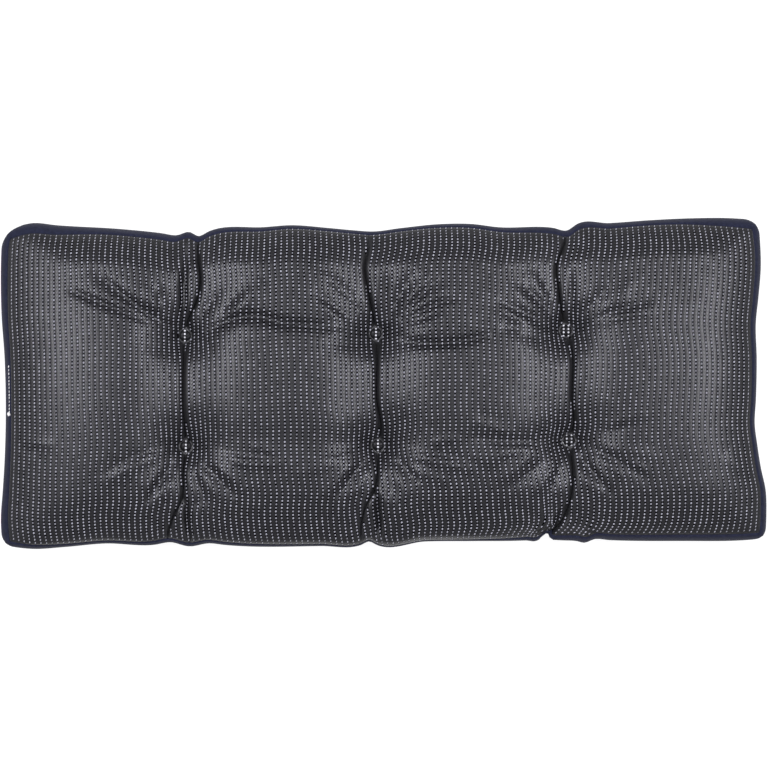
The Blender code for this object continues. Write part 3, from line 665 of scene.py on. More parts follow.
@lru_cache(maxsize=1)
def lay_cloth(rib_pitch, stitch_pitch, rib_relief):
    """Lay the ribbed cloth between the seams.

    Columns of the returned grids run along the ribs and rows across them. The column nearest to a valley
    lies on it.
    """
    across, depth = np.meshgrid(np.linspace(0, SECTIONS, LAY_COLUMNS + 1), np.linspace(0, 1, LAY_ROWS + 1))
    x, y = plan(across, depth, seam_inset)
    sheet = np.stack([across, depth, x, y, face_height(x, y, ())])
    sheet = even_out(sheet, rib_pitch, RING_STEP, rib_columns)
    sheet = even_out(sheet.swapaxes(1, 2), stitch_pitch, UNDER_CELL, stitch_rows)
    across, depth = sheet.swapaxes(1, 2)[:2]
    column = rib_columns(across.shape[1] // STEPS_PER_RIB)
    rib = np.tile(column, (len(across), 1))
    for row in range(len(across)):
        for valley in range(1, SECTIONS):
            nearest = np.argmin(np.abs(across[row] - valley))
            rib[row, nearest] = np.interp(valley, across[row], column)
            across[row, nearest] = valley
    x, y = plan(across, depth, seam_inset)
    z = face_height(x, y)
    gaps = edge_gaps(x, y)
    from_seam = np.minimum.reduce([gaps[side] - seam_inset(side, y if side in ("left", "right") else x)
                                   for side in SEAM_INSET])
    x, y = round_corners(x, y)
    places = np.stack([x, y, z], axis=-1)
    _, outward = cloth_directions(places)
    from_line = np.abs(rib - np.round(rib))
    raised = 2 * from_line * rib_relief * np.clip(from_seam / RELIEF_FADE, 0, 1)
    places = places + outward * raised[..., None]
    return {"across": across, "depth": depth, "places": places, "rib": rib, "from_seam": from_seam}


def cloth_directions(places):
    """Unit vectors along the ribs and out of the cloth, at each point."""
    along = np.gradient(places, axis=0)
    along /= np.linalg.norm(along, axis=-1, keepdims=True)
    outward = np.cross(np.gradient(places, axis=1), along)
    outward /= np.linalg.norm(outward, axis=-1, keepdims=True)
    return along, outward


def stitches_show(across, places):
    """Where the raised stitches show: not in the crease of a valley and not under a button."""
    shown = np.abs(across - np.round(across)) > VALLEY_CLEAR
    shown |= (across < VALLEY_CLEAR) | (across > SECTIONS - VALLEY_CLEAR)
    for x, y in tuft_centres():
        shown &= np.hypot(places[..., 0] - x, places[..., 1] - y) > SEAT_RADIUS
    return shown


def stitch_cells(grid):
    """Mean of a grid over each cell that holds a raised stitch."""
    low, high = grid[STEPS_PER_STITCH:-1:STEPS_PER_STITCH], grid[STEPS_PER_STITCH + 1::STEPS_PER_STITCH]
    rows = (low + high) / 2
    return (rows[:, STEPS_PER_RIB:-1:STEPS_PER_RIB] + rows[:, STEPS_PER_RIB + 1::STEPS_PER_RIB]) / 2


def around(grid):
    """Border values of a grid in one turn, counter-clockwise from its first corner."""
    return np.concatenate([grid[0, :-1], grid[:-1, -1], grid[-1, :0:-1], grid[:0:-1, 0]])


def ring_at(across, depth, inset, height):
    """Ring of points a given inset from the outline, at the height that a function gives there."""
    x, y = plan(across, depth, inset)
    z = height(x, y)
    x, y = round_corners(x, y)
    return np.stack([x, y, z], axis=-1)


def border_rings(cloth):
    """Rings of the back cloth, from beside the seam to the flat underside."""
    across, depth = around(cloth["across"])[::RING_STEP], around(cloth["depth"])[::RING_STEP]
    rings = []
    for share in BORDER_RINGS:
        ring = ring_at(across, depth, lambda side, at: share * seam_inset(side, at), face_height)
        ring[:, 2] += BORDER_PUFF
        rings.append(ring)
    rings.append(ring_at(across, depth, lambda side, at: 0.0, lambda x, y: np.full_like(x, GIRTH_HEIGHT)))
    for width in UNDER_RINGS:
        rings.append(ring_at(across, depth, lambda side, at: width, under_height))
    return rings


def under_grid(cloth):
    """Points inside the last ring, on the flat underside, and how many cells they make each way."""
    step = RING_STEP * UNDER_CELL
    across, depth = cloth["across"][::step, ::step], cloth["depth"][::step, ::step]
    rows, columns = across.shape
    i, j = np.arange(columns) / (columns - 1), (np.arange(rows) / (rows - 1))[:, None]
    across = across[0] * (1 - j) + across[-1] * j
    depth = depth[:, :1] * (1 - i) + depth[:, -1:] * i
    x, y = plan(across[1:-1, 1:-1], depth[1:-1, 1:-1], lambda side, at: UNDER_RINGS[-1])
    return np.stack([x, y, under_height(x, y)], axis=-1), rows - 1, columns - 1


def band_faces(first, sides, rings, closed=False):
    """Faces between rings of points in a row, and from the last ring to the first where it is closed."""
    faces = []
    for ring in range(rings if closed else rings - 1):
        low, high = first + ring * sides, first + (ring + 1) % rings * sides
        for k in range(sides):
            after = (k + 1) % sides
            faces.append([low + k, low + after, high + after, high + k])
    return faces


def face_quads(rows, columns):
    """Corner numbers of the faces of a grid of points, and the grid of numbers."""
    number = np.arange(rows * columns).reshape(rows, columns)
    corners = (number[:-1, :-1], number[:-1, 1:], number[1:, 1:], number[1:, :-1])
    return np.stack([corner.ravel() for corner in corners], axis=-1).tolist(), number


def under_faces(ring, inner, rows, columns):
    """Faces of the underside: inner cells are squares, cells at its edge take in every ring point."""
    side = [columns * UNDER_CELL, rows * UNDER_CELL]
    starts = np.cumsum([0, side[0], side[1], side[0]])

    def edge_point(row, column):
        if row == 0:
            return starts[0] + column * UNDER_CELL
        if column == columns:
            return starts[1] + row * UNDER_CELL
        if row == rows:
            return starts[2] + (columns - column) * UNDER_CELL
        return starts[3] + (rows - row) * UNDER_CELL

    def on_edge(row, column):
        return row in (0, rows) or column in (0, columns)

    faces = []
    for row in range(rows):
        for column in range(columns):
            corners = [(row, column), (row, column + 1), (row + 1, column + 1), (row + 1, column)]
            face = []
            for here, after in zip(corners, corners[1:] + corners[:1]):
                if not on_edge(*here):
                    face.append(int(inner[here[0] - 1, here[1] - 1]))
                    continue
                place = edge_point(*here)
                face.append(ring + place % (2 * sum(side)))
                following = (edge_point(*after) - place) % (2 * sum(side)) if on_edge(*after) else 0
                if following == UNDER_CELL:
                    face += [ring + (place + k) % (2 * sum(side)) for k in range(1, UNDER_CELL)]
            faces.append([int(number) for number in reversed(face)])
    return faces


def new_object(name, mesh, *materials):
    piece = bpy.data.objects.new(name, mesh)
    for material in materials:
        mesh.materials.append(material)
    bpy.context.scene.collection.objects.link(piece)
    return piece


def finish_piece(piece, slot, *replaced):
    """Let a finished piece ride on the cushion's body and hide the parts that it replaces; its slot is not
    used.
    """
    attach(piece, BODY)
    if replaced:
        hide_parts(*replaced)


def store_values(mesh, name, values):
    """Store a number or a vector for each point of a mesh under a name."""
    kind, field = ("FLOAT", "value") if values.ndim == 1 else ("FLOAT_VECTOR", "vector")
    attribute = mesh.attributes.new(name, kind, "POINT")
    attribute.data.foreach_set(field, values.astype(np.float32).ravel())


def store_uv(mesh, name, u, v):
    """UV map from one pair of values for each point."""
    corner_points = np.empty(len(mesh.loops), dtype=np.int32)
    mesh.loops.foreach_get("vertex_index", corner_points)
    uv = np.stack([u[corner_points], v[corner_points]], axis=-1).astype(np.float32)
    layer = mesh.uv_layers.new(name=name)
    layer.data.foreach_set("uv", uv.ravel())


def cover_mesh(cloth):
    """Closed mesh of the cover: the ribbed face to its seam, then the back cloth round to the underside."""
    places = cloth["places"].copy()
    _, outward = cloth_directions(places)
    for edge in (np.s_[0, :], np.s_[-1, :], np.s_[:, 0], np.s_[:, -1]):
        places[edge] -= outward[edge] * SEAM_DEPTH
    rows, columns = places.shape[:2]
    faces, number = face_quads(rows, columns)
    face_count = len(faces)
    seam = around(number)
    rings = border_rings(cloth)
    sides = len(rings[0])
    first = rows * columns
    for k in range(sides):
        inner = [int(seam[(RING_STEP * k + n) % len(seam)]) for n in range(RING_STEP + 1)]
        faces.append([inner[0], first + k, first + (k + 1) % sides, *inner[:0:-1]])
    # These rings lead down and in, so their faces turn the other way.
    faces += [[face[0], *face[:0:-1]] for face in band_faces(first, sides, len(rings))]
    last = first + (len(rings) - 1) * sides
    inside, cell_rows, cell_columns = under_grid(cloth)
    inner = (last + sides + np.arange(inside.shape[0] * inside.shape[1])).reshape(inside.shape[:2])
    faces += under_faces(last, inner, cell_rows, cell_columns)
    points = np.concatenate([places.reshape(-1, 3), *rings, inside.reshape(-1, 3)])
    mesh = bpy.data.meshes.new("cushion_cover")
    mesh.from_pydata(points.tolist(), [], faces)
    slots = np.full(len(faces), COVER_CLOTHS.index("back"), dtype=np.int32)
    slots[:face_count] = COVER_CLOTHS.index("face")
    open_cloth = (cloth["from_seam"] > RELIEF_FADE)[:-1, :-1]
    middles = [(grid[:-1, :-1] + grid[1:, 1:]) / 2 for grid in (cloth["across"], cloth["places"])]
    shaded_groove_cells = open_cloth & stitches_show(*middles)
    # The groove is the one cell of each rib that lies on its stitched line; the first line is in the seam.
    # Its near-black material is painted shade.
    shaded_groove_cells[:, np.arange(columns - 1) % STEPS_PER_RIB != 0] = False
    shaded_groove_cells[:, 0] = False
    slots[:face_count][shaded_groove_cells.ravel()] = COVER_CLOTHS.index("groove")
    mesh.polygons.foreach_set("material_index", slots)
    u = cloth["rib"]
    v = np.tile((np.arange(rows) / STEPS_PER_STITCH)[:, None], (1, columns))
    beyond = len(points) - rows * columns
    u, v = (np.concatenate([values.ravel(), np.zeros(beyond)]) for values in (u, v))
    store_uv(mesh, "cloth", u, v)
    mesh.shade_smooth()
    return mesh


# ------------------------------------------------------------------ node trees
def fill(tree, node, sockets):
    """Fill a node's sockets. Each takes a value, or another node's output as its link."""
    for name, value in sockets.items():
        if isinstance(value, bpy.types.NodeSocket):
            tree.links.new(value, node.inputs[name])
        else:
            node.inputs[name].default_value = value


def add(tree, kind, sockets=None, **settings):
    """Add a node with its settings and fill its sockets."""
    node = tree.nodes.new(kind)
    for name, value in settings.items():
        setattr(node, name, value)
    fill(tree, node, sockets or {})
    return node


def stitch_tree():
    """Lays one raised stitch on each point, along its row and facing out of the cloth."""
    tree = bpy.data.node_groups.new("lay_stitches", "GeometryNodeTree")
    tree.interface.new_socket("Geometry", in_out="OUTPUT", socket_type="NodeSocketGeometry")
    for label, kind in (("Geometry", "Geometry"), ("Length", "Float"), ("Width", "Float"),
                        ("Height", "Float"), ("Seed", "Int"), ("Material", "Material")):
        tree.interface.new_socket(label, in_out="INPUT", socket_type="NodeSocket" + kind)
    given = tree.nodes.new("NodeGroupInput").outputs
    ball = add(tree, "GeometryNodeMeshUVSphere",
               {"Segments": STITCH_SIDES, "Rings": STITCH_RINGS, "Radius": UNIT_RADIUS})
    size = add(tree, "ShaderNodeCombineXYZ",
               {"X": given["Width"], "Y": given["Height"], "Z": given["Length"]})
    stretched = add(tree, "GeometryNodeTransform",
                    {"Geometry": ball.outputs["Mesh"], "Scale": size.outputs[0]})
    laid = add(tree, "GeometryNodeTransform",
               {"Geometry": stretched.outputs[0], "Rotation": (pi / 2, 0.0, 0.0)})
    smooth = add(tree, "GeometryNodeSetShadeSmooth", {"Geometry": laid.outputs[0]})
    axis, up = (
        add(tree, "GeometryNodeInputNamedAttribute", {"Name": name}, data_type="FLOAT_VECTOR")
        .outputs["Attribute"] for name in ("stitch_axis", "stitch_up"))
    facing = add(tree, "FunctionNodeAlignRotationToVector", {"Vector": up}, axis="Z")
    turned = add(tree, "FunctionNodeAlignRotationToVector",
                 {"Rotation": facing.outputs[0], "Vector": axis}, axis="Y", pivot_axis="Z")
    share = add(tree, "GeometryNodeInputNamedAttribute", {"Name": "stitch_size"}, data_type="FLOAT")
    least, most = STITCH_UNEVEN
    uneven = add(tree, "FunctionNodeRandomValue", {2: least, 3: most, "Seed": given["Seed"]},
                 data_type="FLOAT").outputs[1]
    thin = add(tree, "ShaderNodeMath", {0: share.outputs["Attribute"], 1: uneven},
               operation="MULTIPLY").outputs[0]
    scale = add(tree, "ShaderNodeCombineXYZ", {"X": thin, "Y": uneven, "Z": thin}).outputs[0]
    placed = add(tree, "GeometryNodeInstanceOnPoints",
                 {"Points": given["Geometry"], "Instance": smooth.outputs[0],
                  "Rotation": turned.outputs[0], "Scale": scale})
    tone = add(tree, "FunctionNodeRandomValue", {2: 0.0, 3: 1.0, "Seed": given["Seed"]}, data_type="FLOAT")
    toned = add(tree, "GeometryNodeStoreNamedAttribute",
                {"Geometry": placed.outputs[0], "Name": "tone", "Value": tone.outputs[1]},
                data_type="FLOAT", domain="INSTANCE")
    real = add(tree, "GeometryNodeRealizeInstances", {"Geometry": toned.outputs[0]})
    finished = add(tree, "GeometryNodeSetMaterial",
                   {"Geometry": real.outputs[0], "Material": given["Material"]})
    add(tree, "NodeGroupOutput", {"Geometry": finished.outputs[0]})
    return tree


def stitches_on(name, places, axis, up, size, material, seed, measures):
    """Piece made of one raised stitch on each place, as a plain mesh."""
    points = bpy.data.meshes.new(name)
    points.from_pydata(places.tolist(), [], [])
    given = {"stitch_axis": axis, "stitch_up": up, "stitch_size": size}
    for attribute, values in given.items():
        store_values(points, attribute, values)
    piece = new_object(name, points)
    tree = bpy.data.node_groups.get("lay_stitches") or stitch_tree()
    inputs = dict(zip(("Length", "Width", "Height", "Seed", "Material"), (*measures, seed, material)))
    modifier = piece.modifiers.new(tree.name, "NODES")
    modifier.node_group = tree
    for item in tree.interface.items_tree:
        if item.in_out == "INPUT" and item.name in inputs:
            modifier[item.identifier] = inputs[item.name]
    depsgraph = bpy.context.evaluated_depsgraph_get()
    mesh = bpy.data.meshes.new_from_object(piece.evaluated_get(depsgraph))
    piece.modifiers.clear()
    piece.data = mesh
    mesh.name = name
    for attribute in given:
        if attribute in mesh.attributes:
            mesh.attributes.remove(mesh.attributes[attribute])
    return piece


# ------------------------------------------------------------------ materials
def new_material(name, values):
    """Material with a Principled shader, and the values that are the same all over it."""
    material = bpy.data.materials.new(name)
    material.use_nodes = True
    tree = material.node_tree
    shader = tree.nodes["Principled BSDF"]
    fill(tree, shader, values)
    return material, tree, shader


def mottled(tree, tint, pattern, darkest, lightest, low=0.0, high=1.0):
    """A colour that a pattern makes darker and lighter, by a factor on it."""
    factor = add(tree, "ShaderNodeMapRange",
                 {"Value": pattern, "From Min": low, "From Max": high, "To Min": darkest, "To Max": lightest})
    return add(tree, "ShaderNodeMix", {"Factor": 1.0, "A": tint, "B": factor.outputs[0]}, data_type="RGBA",
               blend_type="MULTIPLY").outputs["Result"]


def face_cloth_material(name, colours, specular=0.60):
    """Polyester sateen with a woven rib: charcoal, a broad soft sheen, and painted shade in the gaps between
    the stitches and along the stitched lines.

    The sheen comes from the long floats of the weave, so that flat stretches and slopes turned to a light
    are grey. The pattern is drawn in ribs to the side and stitches along them, and so follows the cloth.
    """
    material, tree, shader = new_material(
        name, {"Specular IOR Level": specular, "Sheen Weight": 0.04, "Sheen Roughness": 0.5})
    uv = add(tree, "ShaderNodeUVMap", uv_map="cloth").outputs[0]
    split = add(tree, "ShaderNodeSeparateXYZ", {0: uv}).outputs
    from_line = add(tree, "ShaderNodeMath", {0: split["X"], 1: 0.5}, operation="PINGPONG").outputs[0]
    along = add(tree, "ShaderNodeMath", {0: split["Y"], 1: STITCH_PLACE}, operation="SUBTRACT").outputs[0]
    from_stitch = add(tree, "ShaderNodeMath", {0: along, 1: 0.5}, operation="PINGPONG").outputs[0]
    # Steps of the twill slant away from every gap to both sides, like a fish bone, one to a stitch.
    climb = add(tree, "ShaderNodeMath", {0: from_line, 1: HATCH_SLOPE}, operation="MULTIPLY").outputs[0]
    slanted = add(tree, "ShaderNodeMath", {0: along, 1: climb}, operation="ADD").outputs[0]
    step = add(tree, "ShaderNodeMath", {0: slanted, 1: 0.5}, operation="PINGPONG").outputs[0]
    # Each shade goes from its first to its last darkness between two distances. The first two together paint
    # shade into the gaps between the stitches, the third paints shade along the stitched line, and the last
    # is the twill's own pattern.
    shades = ((from_line, 0.10, 0.24, 1.0, 0.0), (from_stitch, 0.22, 0.42, 0.0, 1.0),
              (from_line, 0.04, 0.30, 0.55, 0.0), (step, 0.225, 0.45, 0.0, 0.9))
    beside, between, groove, hatch = (
        add(tree, "ShaderNodeMapRange",
            {"Value": value, "From Min": low, "From Max": high, "To Min": first, "To Max": last},
            interpolation_type="SMOOTHSTEP").outputs[0]
        for value, low, high, first, last in shades)
    # Painted shade: the gaps between the stitches beside each line are darkened, and so is the stitched line
    # itself.
    gap_shade = add(tree, "ShaderNodeMath", {0: beside, 1: between}, operation="MULTIPLY").outputs[0]
    twill_and_painted_shade = gap_shade
    for shade in (groove, hatch):
        twill_and_painted_shade = add(tree, "ShaderNodeMath", {0: twill_and_painted_shade, 1: shade}, operation="MAXIMUM").outputs[0]
    # Floats of the weave, drawn four times coarser than the thread so that they show.
    stretched = add(tree, "ShaderNodeMapping", {"Vector": uv, "Scale": FLOATS_PER_PITCH}).outputs[0]
    floats = add(tree, "ShaderNodeTexNoise",
                 {"Vector": stretched, "Scale": 1.0, "Detail": 2.0, "Roughness": 0.6}).outputs[0]
    ground = mottled(tree, colours.ground, floats, 0.72, 1.3, 0.3, 0.7)
    colour = add(tree, "ShaderNodeMix", {"Factor": twill_and_painted_shade, "A": ground, "B": colours.groove}, data_type="RGBA")
    rough = add(tree, "ShaderNodeMapRange", {"Value": twill_and_painted_shade, "To Min": 0.35, "To Max": 0.7})
    sunk = add(tree, "ShaderNodeMath", {0: hatch, 1: 0.8}, operation="MULTIPLY").outputs[0]
    raised = add(tree, "ShaderNodeMath", {0: floats, 1: sunk}, operation="SUBTRACT").outputs[0]
    bump = add(tree, "ShaderNodeBump", {"Height": raised, "Strength": 0.35, "Distance": 0.0003})
    fill(tree, shader, {"Base Color": colour.outputs["Result"], "Roughness": rough.outputs[0],
                        "Normal": bump.outputs[0]})
    return material


def button_cloth_material(name, colours):
    """The same polyester sateen, pulled over a button: its floats are stretched and shine less."""
    return face_cloth_material(name, colours, 0.20)


def groove_shade_material(name, colours):
    """Painted shade in the groove of a stitched line: sateen thread ends coloured almost black and without
    any shine, for the shadow there.
    """
    material, tree, shader = new_material(name, {"Roughness": 1.0, "Specular IOR Level": 0.0})
    place = add(tree, "ShaderNodeTexCoord").outputs["Object"]
    ends = add(tree, "ShaderNodeTexNoise", {"Vector": place, "Scale": THREAD_ENDS_PER_METRE}).outputs[0]
    fill(tree, shader, {"Base Color": mottled(tree, colours.groove, ends, 0.4, 1.6)})
    return material


def yarn_material(name, colours, tint=None):
    """Twisted polyester yarn: silver-grey, slightly glossy, each stitch a little lighter or darker."""
    material, tree, shader = new_material(
        name, {"Roughness": 0.42, "Sheen Weight": 0.06, "Specular IOR Level": 0.6})
    tone = add(tree, "ShaderNodeAttribute", attribute_name="tone").outputs["Fac"]
    fill(tree, shader, {"Base Color": mottled(tree, tint or colours.yarn, tone, 0.62, 1.22)})
    return material


def lit_button_yarn_material(name, colours):
    """The same polyester yarn, stretched over a button, in a lighter colour that paints in the highlight of
    the full light it takes there.
    """
    return yarn_material(name, colours, colours.lit_button_yarn)


def back_cloth_material(name, colours):
    """Plain-weave cotton blend of the back panel: navy-black and matt, with slubs in its fine even weave."""
    material, tree, shader = new_material(
        name, {"Roughness": 0.85, "Specular IOR Level": 0.2, "Sheen Weight": 0.03})
    place = add(tree, "ShaderNodeTexCoord").outputs["Object"]
    slubs = add(tree, "ShaderNodeTexNoise",
                {"Vector": place, "Scale": SLUBS_PER_METRE, "Detail": 3.0}).outputs[0]
    bump = add(tree, "ShaderNodeBump", {"Height": slubs, "Strength": 0.3, "Distance": 0.0003})
    fill(tree, shader, {"Base Color": mottled(tree, colours.back, slubs, 0.75, 1.25, 0.3, 0.7),
                        "Normal": bump.outputs[0]})
    return material


def thread_material(name, colours):
    """Cotton sewing thread: off-white and matt, with its twist as a fine slanted bump."""
    material, tree, shader = new_material(
        name, {"Base Color": colours.closing, "Roughness": 0.7, "Sheen Weight": 0.2})
    place = add(tree, "ShaderNodeTexCoord").outputs["Object"]
    twist = add(tree, "ShaderNodeTexWave", {"Vector": place, "Scale": TWIST_SCALE, "Distortion": 1.0},
                bands_direction="DIAGONAL")
    bump = add(tree, "ShaderNodeBump", {"Height": twist.outputs["Fac"], "Strength": 0.3, "Distance": 0.0002})
    fill(tree, shader, {"Normal": bump.outputs[0]})
    return material


def floor_material(name, colours):
    """Opal acrylic of a light table: lit evenly from below, near white, without shadows."""
    material, tree, shader = new_material(
        name, {"Roughness": 0.9, "Specular IOR Level": 0.1, "Emission Color": colours.floor_glow,
               "Emission Strength": 1.0})
    place = add(tree, "ShaderNodeTexCoord").outputs["Object"]
    clouds = add(tree, "ShaderNodeTexNoise", {"Vector": place, "Scale": CLOUDS_PER_METRE}).outputs[0]
    fill(tree, shader, {"Base Color": mottled(tree, colours.floor, clouds, 0.985, 1.0)})
    return material


def shared_material(name, make):
    """The material of a name, made at its first use."""
    return bpy.data.materials.get(name) or make(name, bpy.context.scene.cushion_colours)


# ------------------------------------------------------------------ operators
def cloth_now():
    sizes = bpy.context.scene.cloth_sizes
    return lay_cloth(sizes.rib_pitch, sizes.stitch_pitch, sizes.rib_relief)


class CUSHION_OT_cover(bpy.types.Operator):
    """Lay the ribbed face over the filling and the back cloth round its edge and underside"""

    bl_idname = "cushion.cover"
    bl_label = "Cover"

    def execute(self, context):
        mesh = cover_mesh(cloth_now())
        cover = new_object("cushion_cover", mesh,
                           shared_material("polyester_sateen_rib", face_cloth_material),
                           shared_material("plain_weave_back", back_cloth_material),
                           shared_material("sateen_stitch_groove", groove_shade_material))
        finish_piece(cover, "ribbed_cloth", "cushion")
        return {"FINISHED"}


class CUSHION_OT_rib_stitches(bpy.types.Operator):
    """Lay the raised stitches along every rib of the face, in four groups from left to right"""

    bl_idname = "cushion.rib_stitches"
    bl_label = "Raised stitches"

    def execute(self, context):
        cloth = cloth_now()
        sizes = context.scene.cloth_sizes
        along, outward = cloth_directions(cloth["places"])
        along, outward, across = stitch_cells(along), stitch_cells(outward), stitch_cells(cloth["across"])
        places = stitch_cells(cloth["places"]) + outward * sizes.stitch_height * STITCH_RISE
        along = along + np.cross(along, outward) * STITCH_LEAN
        along /= np.linalg.norm(along, axis=-1, keepdims=True)
        clear = stitches_show(across, places)
        measures = (sizes.stitch_length, sizes.stitch_width, sizes.stitch_height)
        kept = np.clip(stitch_cells(cloth["from_seam"]) / STITCH_FADE, 0, 1)
        size = STITCH_THINNEST + (1 - STITCH_THINNEST) * kept
        for k, group in enumerate(STITCH_GROUPS):
            chosen = clear & (across >= k) & ((across < k + 1) | (k == SECTIONS - 1))
            piece = stitches_on("stitches_" + group, places[chosen], along[chosen], outward[chosen],
                                size[chosen], shared_material("polyester_yarn", yarn_material),
                                STITCH_SEED + k, measures)
            finish_piece(piece, "raised_yarn")
        return {"FINISHED"}


def button_mesh(name, centre, base, radius, height):
    """Closed mesh of a covered button: its flat foot, its pleated side and its dome."""
    turns = np.arange(BUTTON_SIDES) * tau / BUTTON_SIDES
    points = []
    for k in range(BUTTON_RINGS):
        share = k / BUTTON_RINGS
        if share < BUTTON_WAIST:
            low = share / BUTTON_WAIST
            reach = radius * (BUTTON_FOOT + (1 - BUTTON_FOOT) * sin(pi / 2 * low))
            rise = height * BUTTON_WAIST * low
        else:
            angle = pi / 2 * (share - BUTTON_WAIST) / (1 - BUTTON_WAIST)
            reach = radius * cos(angle) ** BUTTON_DOME
            rise = height * (BUTTON_WAIST + (1 - BUTTON_WAIST) * sin(angle))
        pleats = BUTTON_PLEAT_DEPTH * np.cos(BUTTON_PLEATS * turns) * (reach / radius) ** BUTTON_PLEAT_FADE
        ring = reach - np.abs(pleats)
        points.append(np.stack([centre[0] + ring * np.cos(turns), centre[1] + ring * np.sin(turns),
                                np.full(BUTTON_SIDES, base + rise)], axis=-1))
    points = np.concatenate([*points, [(*centre, base + height)]])
    last, crown = (BUTTON_RINGS - 1) * BUTTON_SIDES, BUTTON_RINGS * BUTTON_SIDES
    faces = [list(range(BUTTON_SIDES))[::-1], *band_faces(0, BUTTON_SIDES, BUTTON_RINGS)]
    faces += [[last + k, last + (k + 1) % BUTTON_SIDES, crown] for k in range(BUTTON_SIDES)]
    mesh = bpy.data.meshes.new(name)
    mesh.from_pydata(points.tolist(), [], faces)
    mesh.shade_smooth()
    return mesh, points


def button_stitch(beside, further, radius, height):
    """Rise of a stitch on a button above its foot, and the direction out of the cloth there."""
    away = min(np.hypot(beside, further) / radius, BUTTON_STITCH_END)
    dome = np.sqrt(1 - away ** 2)
    rise = height * (BUTTON_WAIST + (1 - BUTTON_WAIST) * dome)
    return rise, (beside / radius, further / radius, dome + BUTTON_STITCH_UP)


class CUSHION_OT_buttons(bpy.types.Operator):
    """Set a covered button with its own raised stitches in each tuft"""

    bl_idname = "cushion.buttons"
    bl_label = "Covered buttons"

    def execute(self, context):
        sizes = context.scene.cloth_sizes
        places, ups = [], []
        for name, columns in BUTTON_COLUMNS.items():
            low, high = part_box(name)
            centre = ((low.x + high.x) / 2, (low.y + high.y) / 2)
            radius, height = (high.x - low.x) / 2, high.z - low.z
            mesh, points = button_mesh("covered_" + name, centre, low.z, radius, height)
            u = (points[:, 0] - centre[0]) / sizes.rib_pitch + columns[0]
            v = (points[:, 1] - centre[1]) / sizes.stitch_pitch
            store_uv(mesh, "cloth", u + BUTTON_CLOTH_START, v + BUTTON_CLOTH_START)
            button = new_object("covered_" + name, mesh,
                                shared_material("polyester_sateen_button", button_cloth_material))
            finish_piece(button, "button_cloth", name)
            for column in columns:
                for k in range(BUTTON_STITCHES):
                    beside = column * sizes.rib_pitch
                    further = (k - (BUTTON_STITCHES - 1) / 2) * sizes.stitch_pitch * BUTTON_STITCH_SPACING
                    rise, up = button_stitch(beside, further, radius, height)
                    places.append((centre[0] + beside, centre[1] + further, low.z + rise))
                    ups.append(up)
        places, ups = np.array(places), np.array(ups)
        ups /= np.linalg.norm(ups, axis=1, keepdims=True)
        axis = np.cross(ups, [1.0, 0.0, 0.0]) * -1
        # The button stitches take the lighter yarn, a painted highlight.
        piece = stitches_on("button_stitches", places, axis, ups, np.full(len(places), BUTTON_STITCH_SIZE),
                            shared_material("polyester_yarn_bare", lit_button_yarn_material), STITCH_SEED,
                            (sizes.stitch_length, sizes.stitch_width, sizes.stitch_height))
        finish_piece(piece, "raised_yarn")
        return {"FINISHED"}


def seam_places(ys, out):
    """Points on the left seam at the given Y, a little outside it, with the direction out of the cloth."""
    x = read_curve(LEFT_EDGE, 1, ys) + seam_inset("left", ys) - out
    z = face_height(x, ys)
    step = SLOPE_STEP
    slope_x = (face_height(x + step, ys) - face_height(x - step, ys)) / (2 * step)
    slope_y = (face_height(x, ys + step) - face_height(x, ys - step)) / (2 * step)
    up = np.stack([-slope_x, -slope_y, np.ones_like(ys)], axis=-1)
    up /= np.linalg.norm(up, axis=1, keepdims=True)
    return np.stack([x, ys, z], axis=-1), up


def knot_points(centre, up):
    """A small overhand knot of thread as a closed path around a centre."""
    turns = np.linspace(0, tau, KNOT_STEPS, endpoint=False)
    wide = KNOT_RADIUS * (1 - KNOT_SWING + KNOT_SWING * np.cos(KNOT_LOOPS * turns))
    flat = np.stack([wide * np.cos(2 * turns), wide * np.sin(2 * turns),
                     KNOT_RADIUS * KNOT_FLATNESS * np.sin(KNOT_LOOPS * turns)], axis=-1)
    side = np.cross([0.0, 1.0, 0.0], up)
    side /= np.linalg.norm(side)
    ahead = np.cross(up, side)
    return centre + flat @ np.stack([side, ahead, up])


def thread_mesh(name, path):
    """Round thread along a closed path."""
    ahead = np.roll(path, -1, axis=0) - np.roll(path, 1, axis=0)
    ahead /= np.linalg.norm(ahead, axis=1, keepdims=True)
    side = np.cross(ahead, [0.0, 0.0, 1.0])
    side /= np.linalg.norm(side, axis=1, keepdims=True)
    over = np.cross(side, ahead)
    turns = np.arange(THREAD_SIDES) * tau / THREAD_SIDES
    ring = side[:, None] * np.cos(turns)[:, None] + over[:, None] * np.sin(turns)[:, None]
    points = (path[:, None] + THREAD_RADIUS * ring).reshape(-1, 3)
    mesh = bpy.data.meshes.new(name)
    mesh.from_pydata(points.tolist(), [], band_faces(0, THREAD_SIDES, len(path), closed=True))
    mesh.shade_smooth()
    return mesh


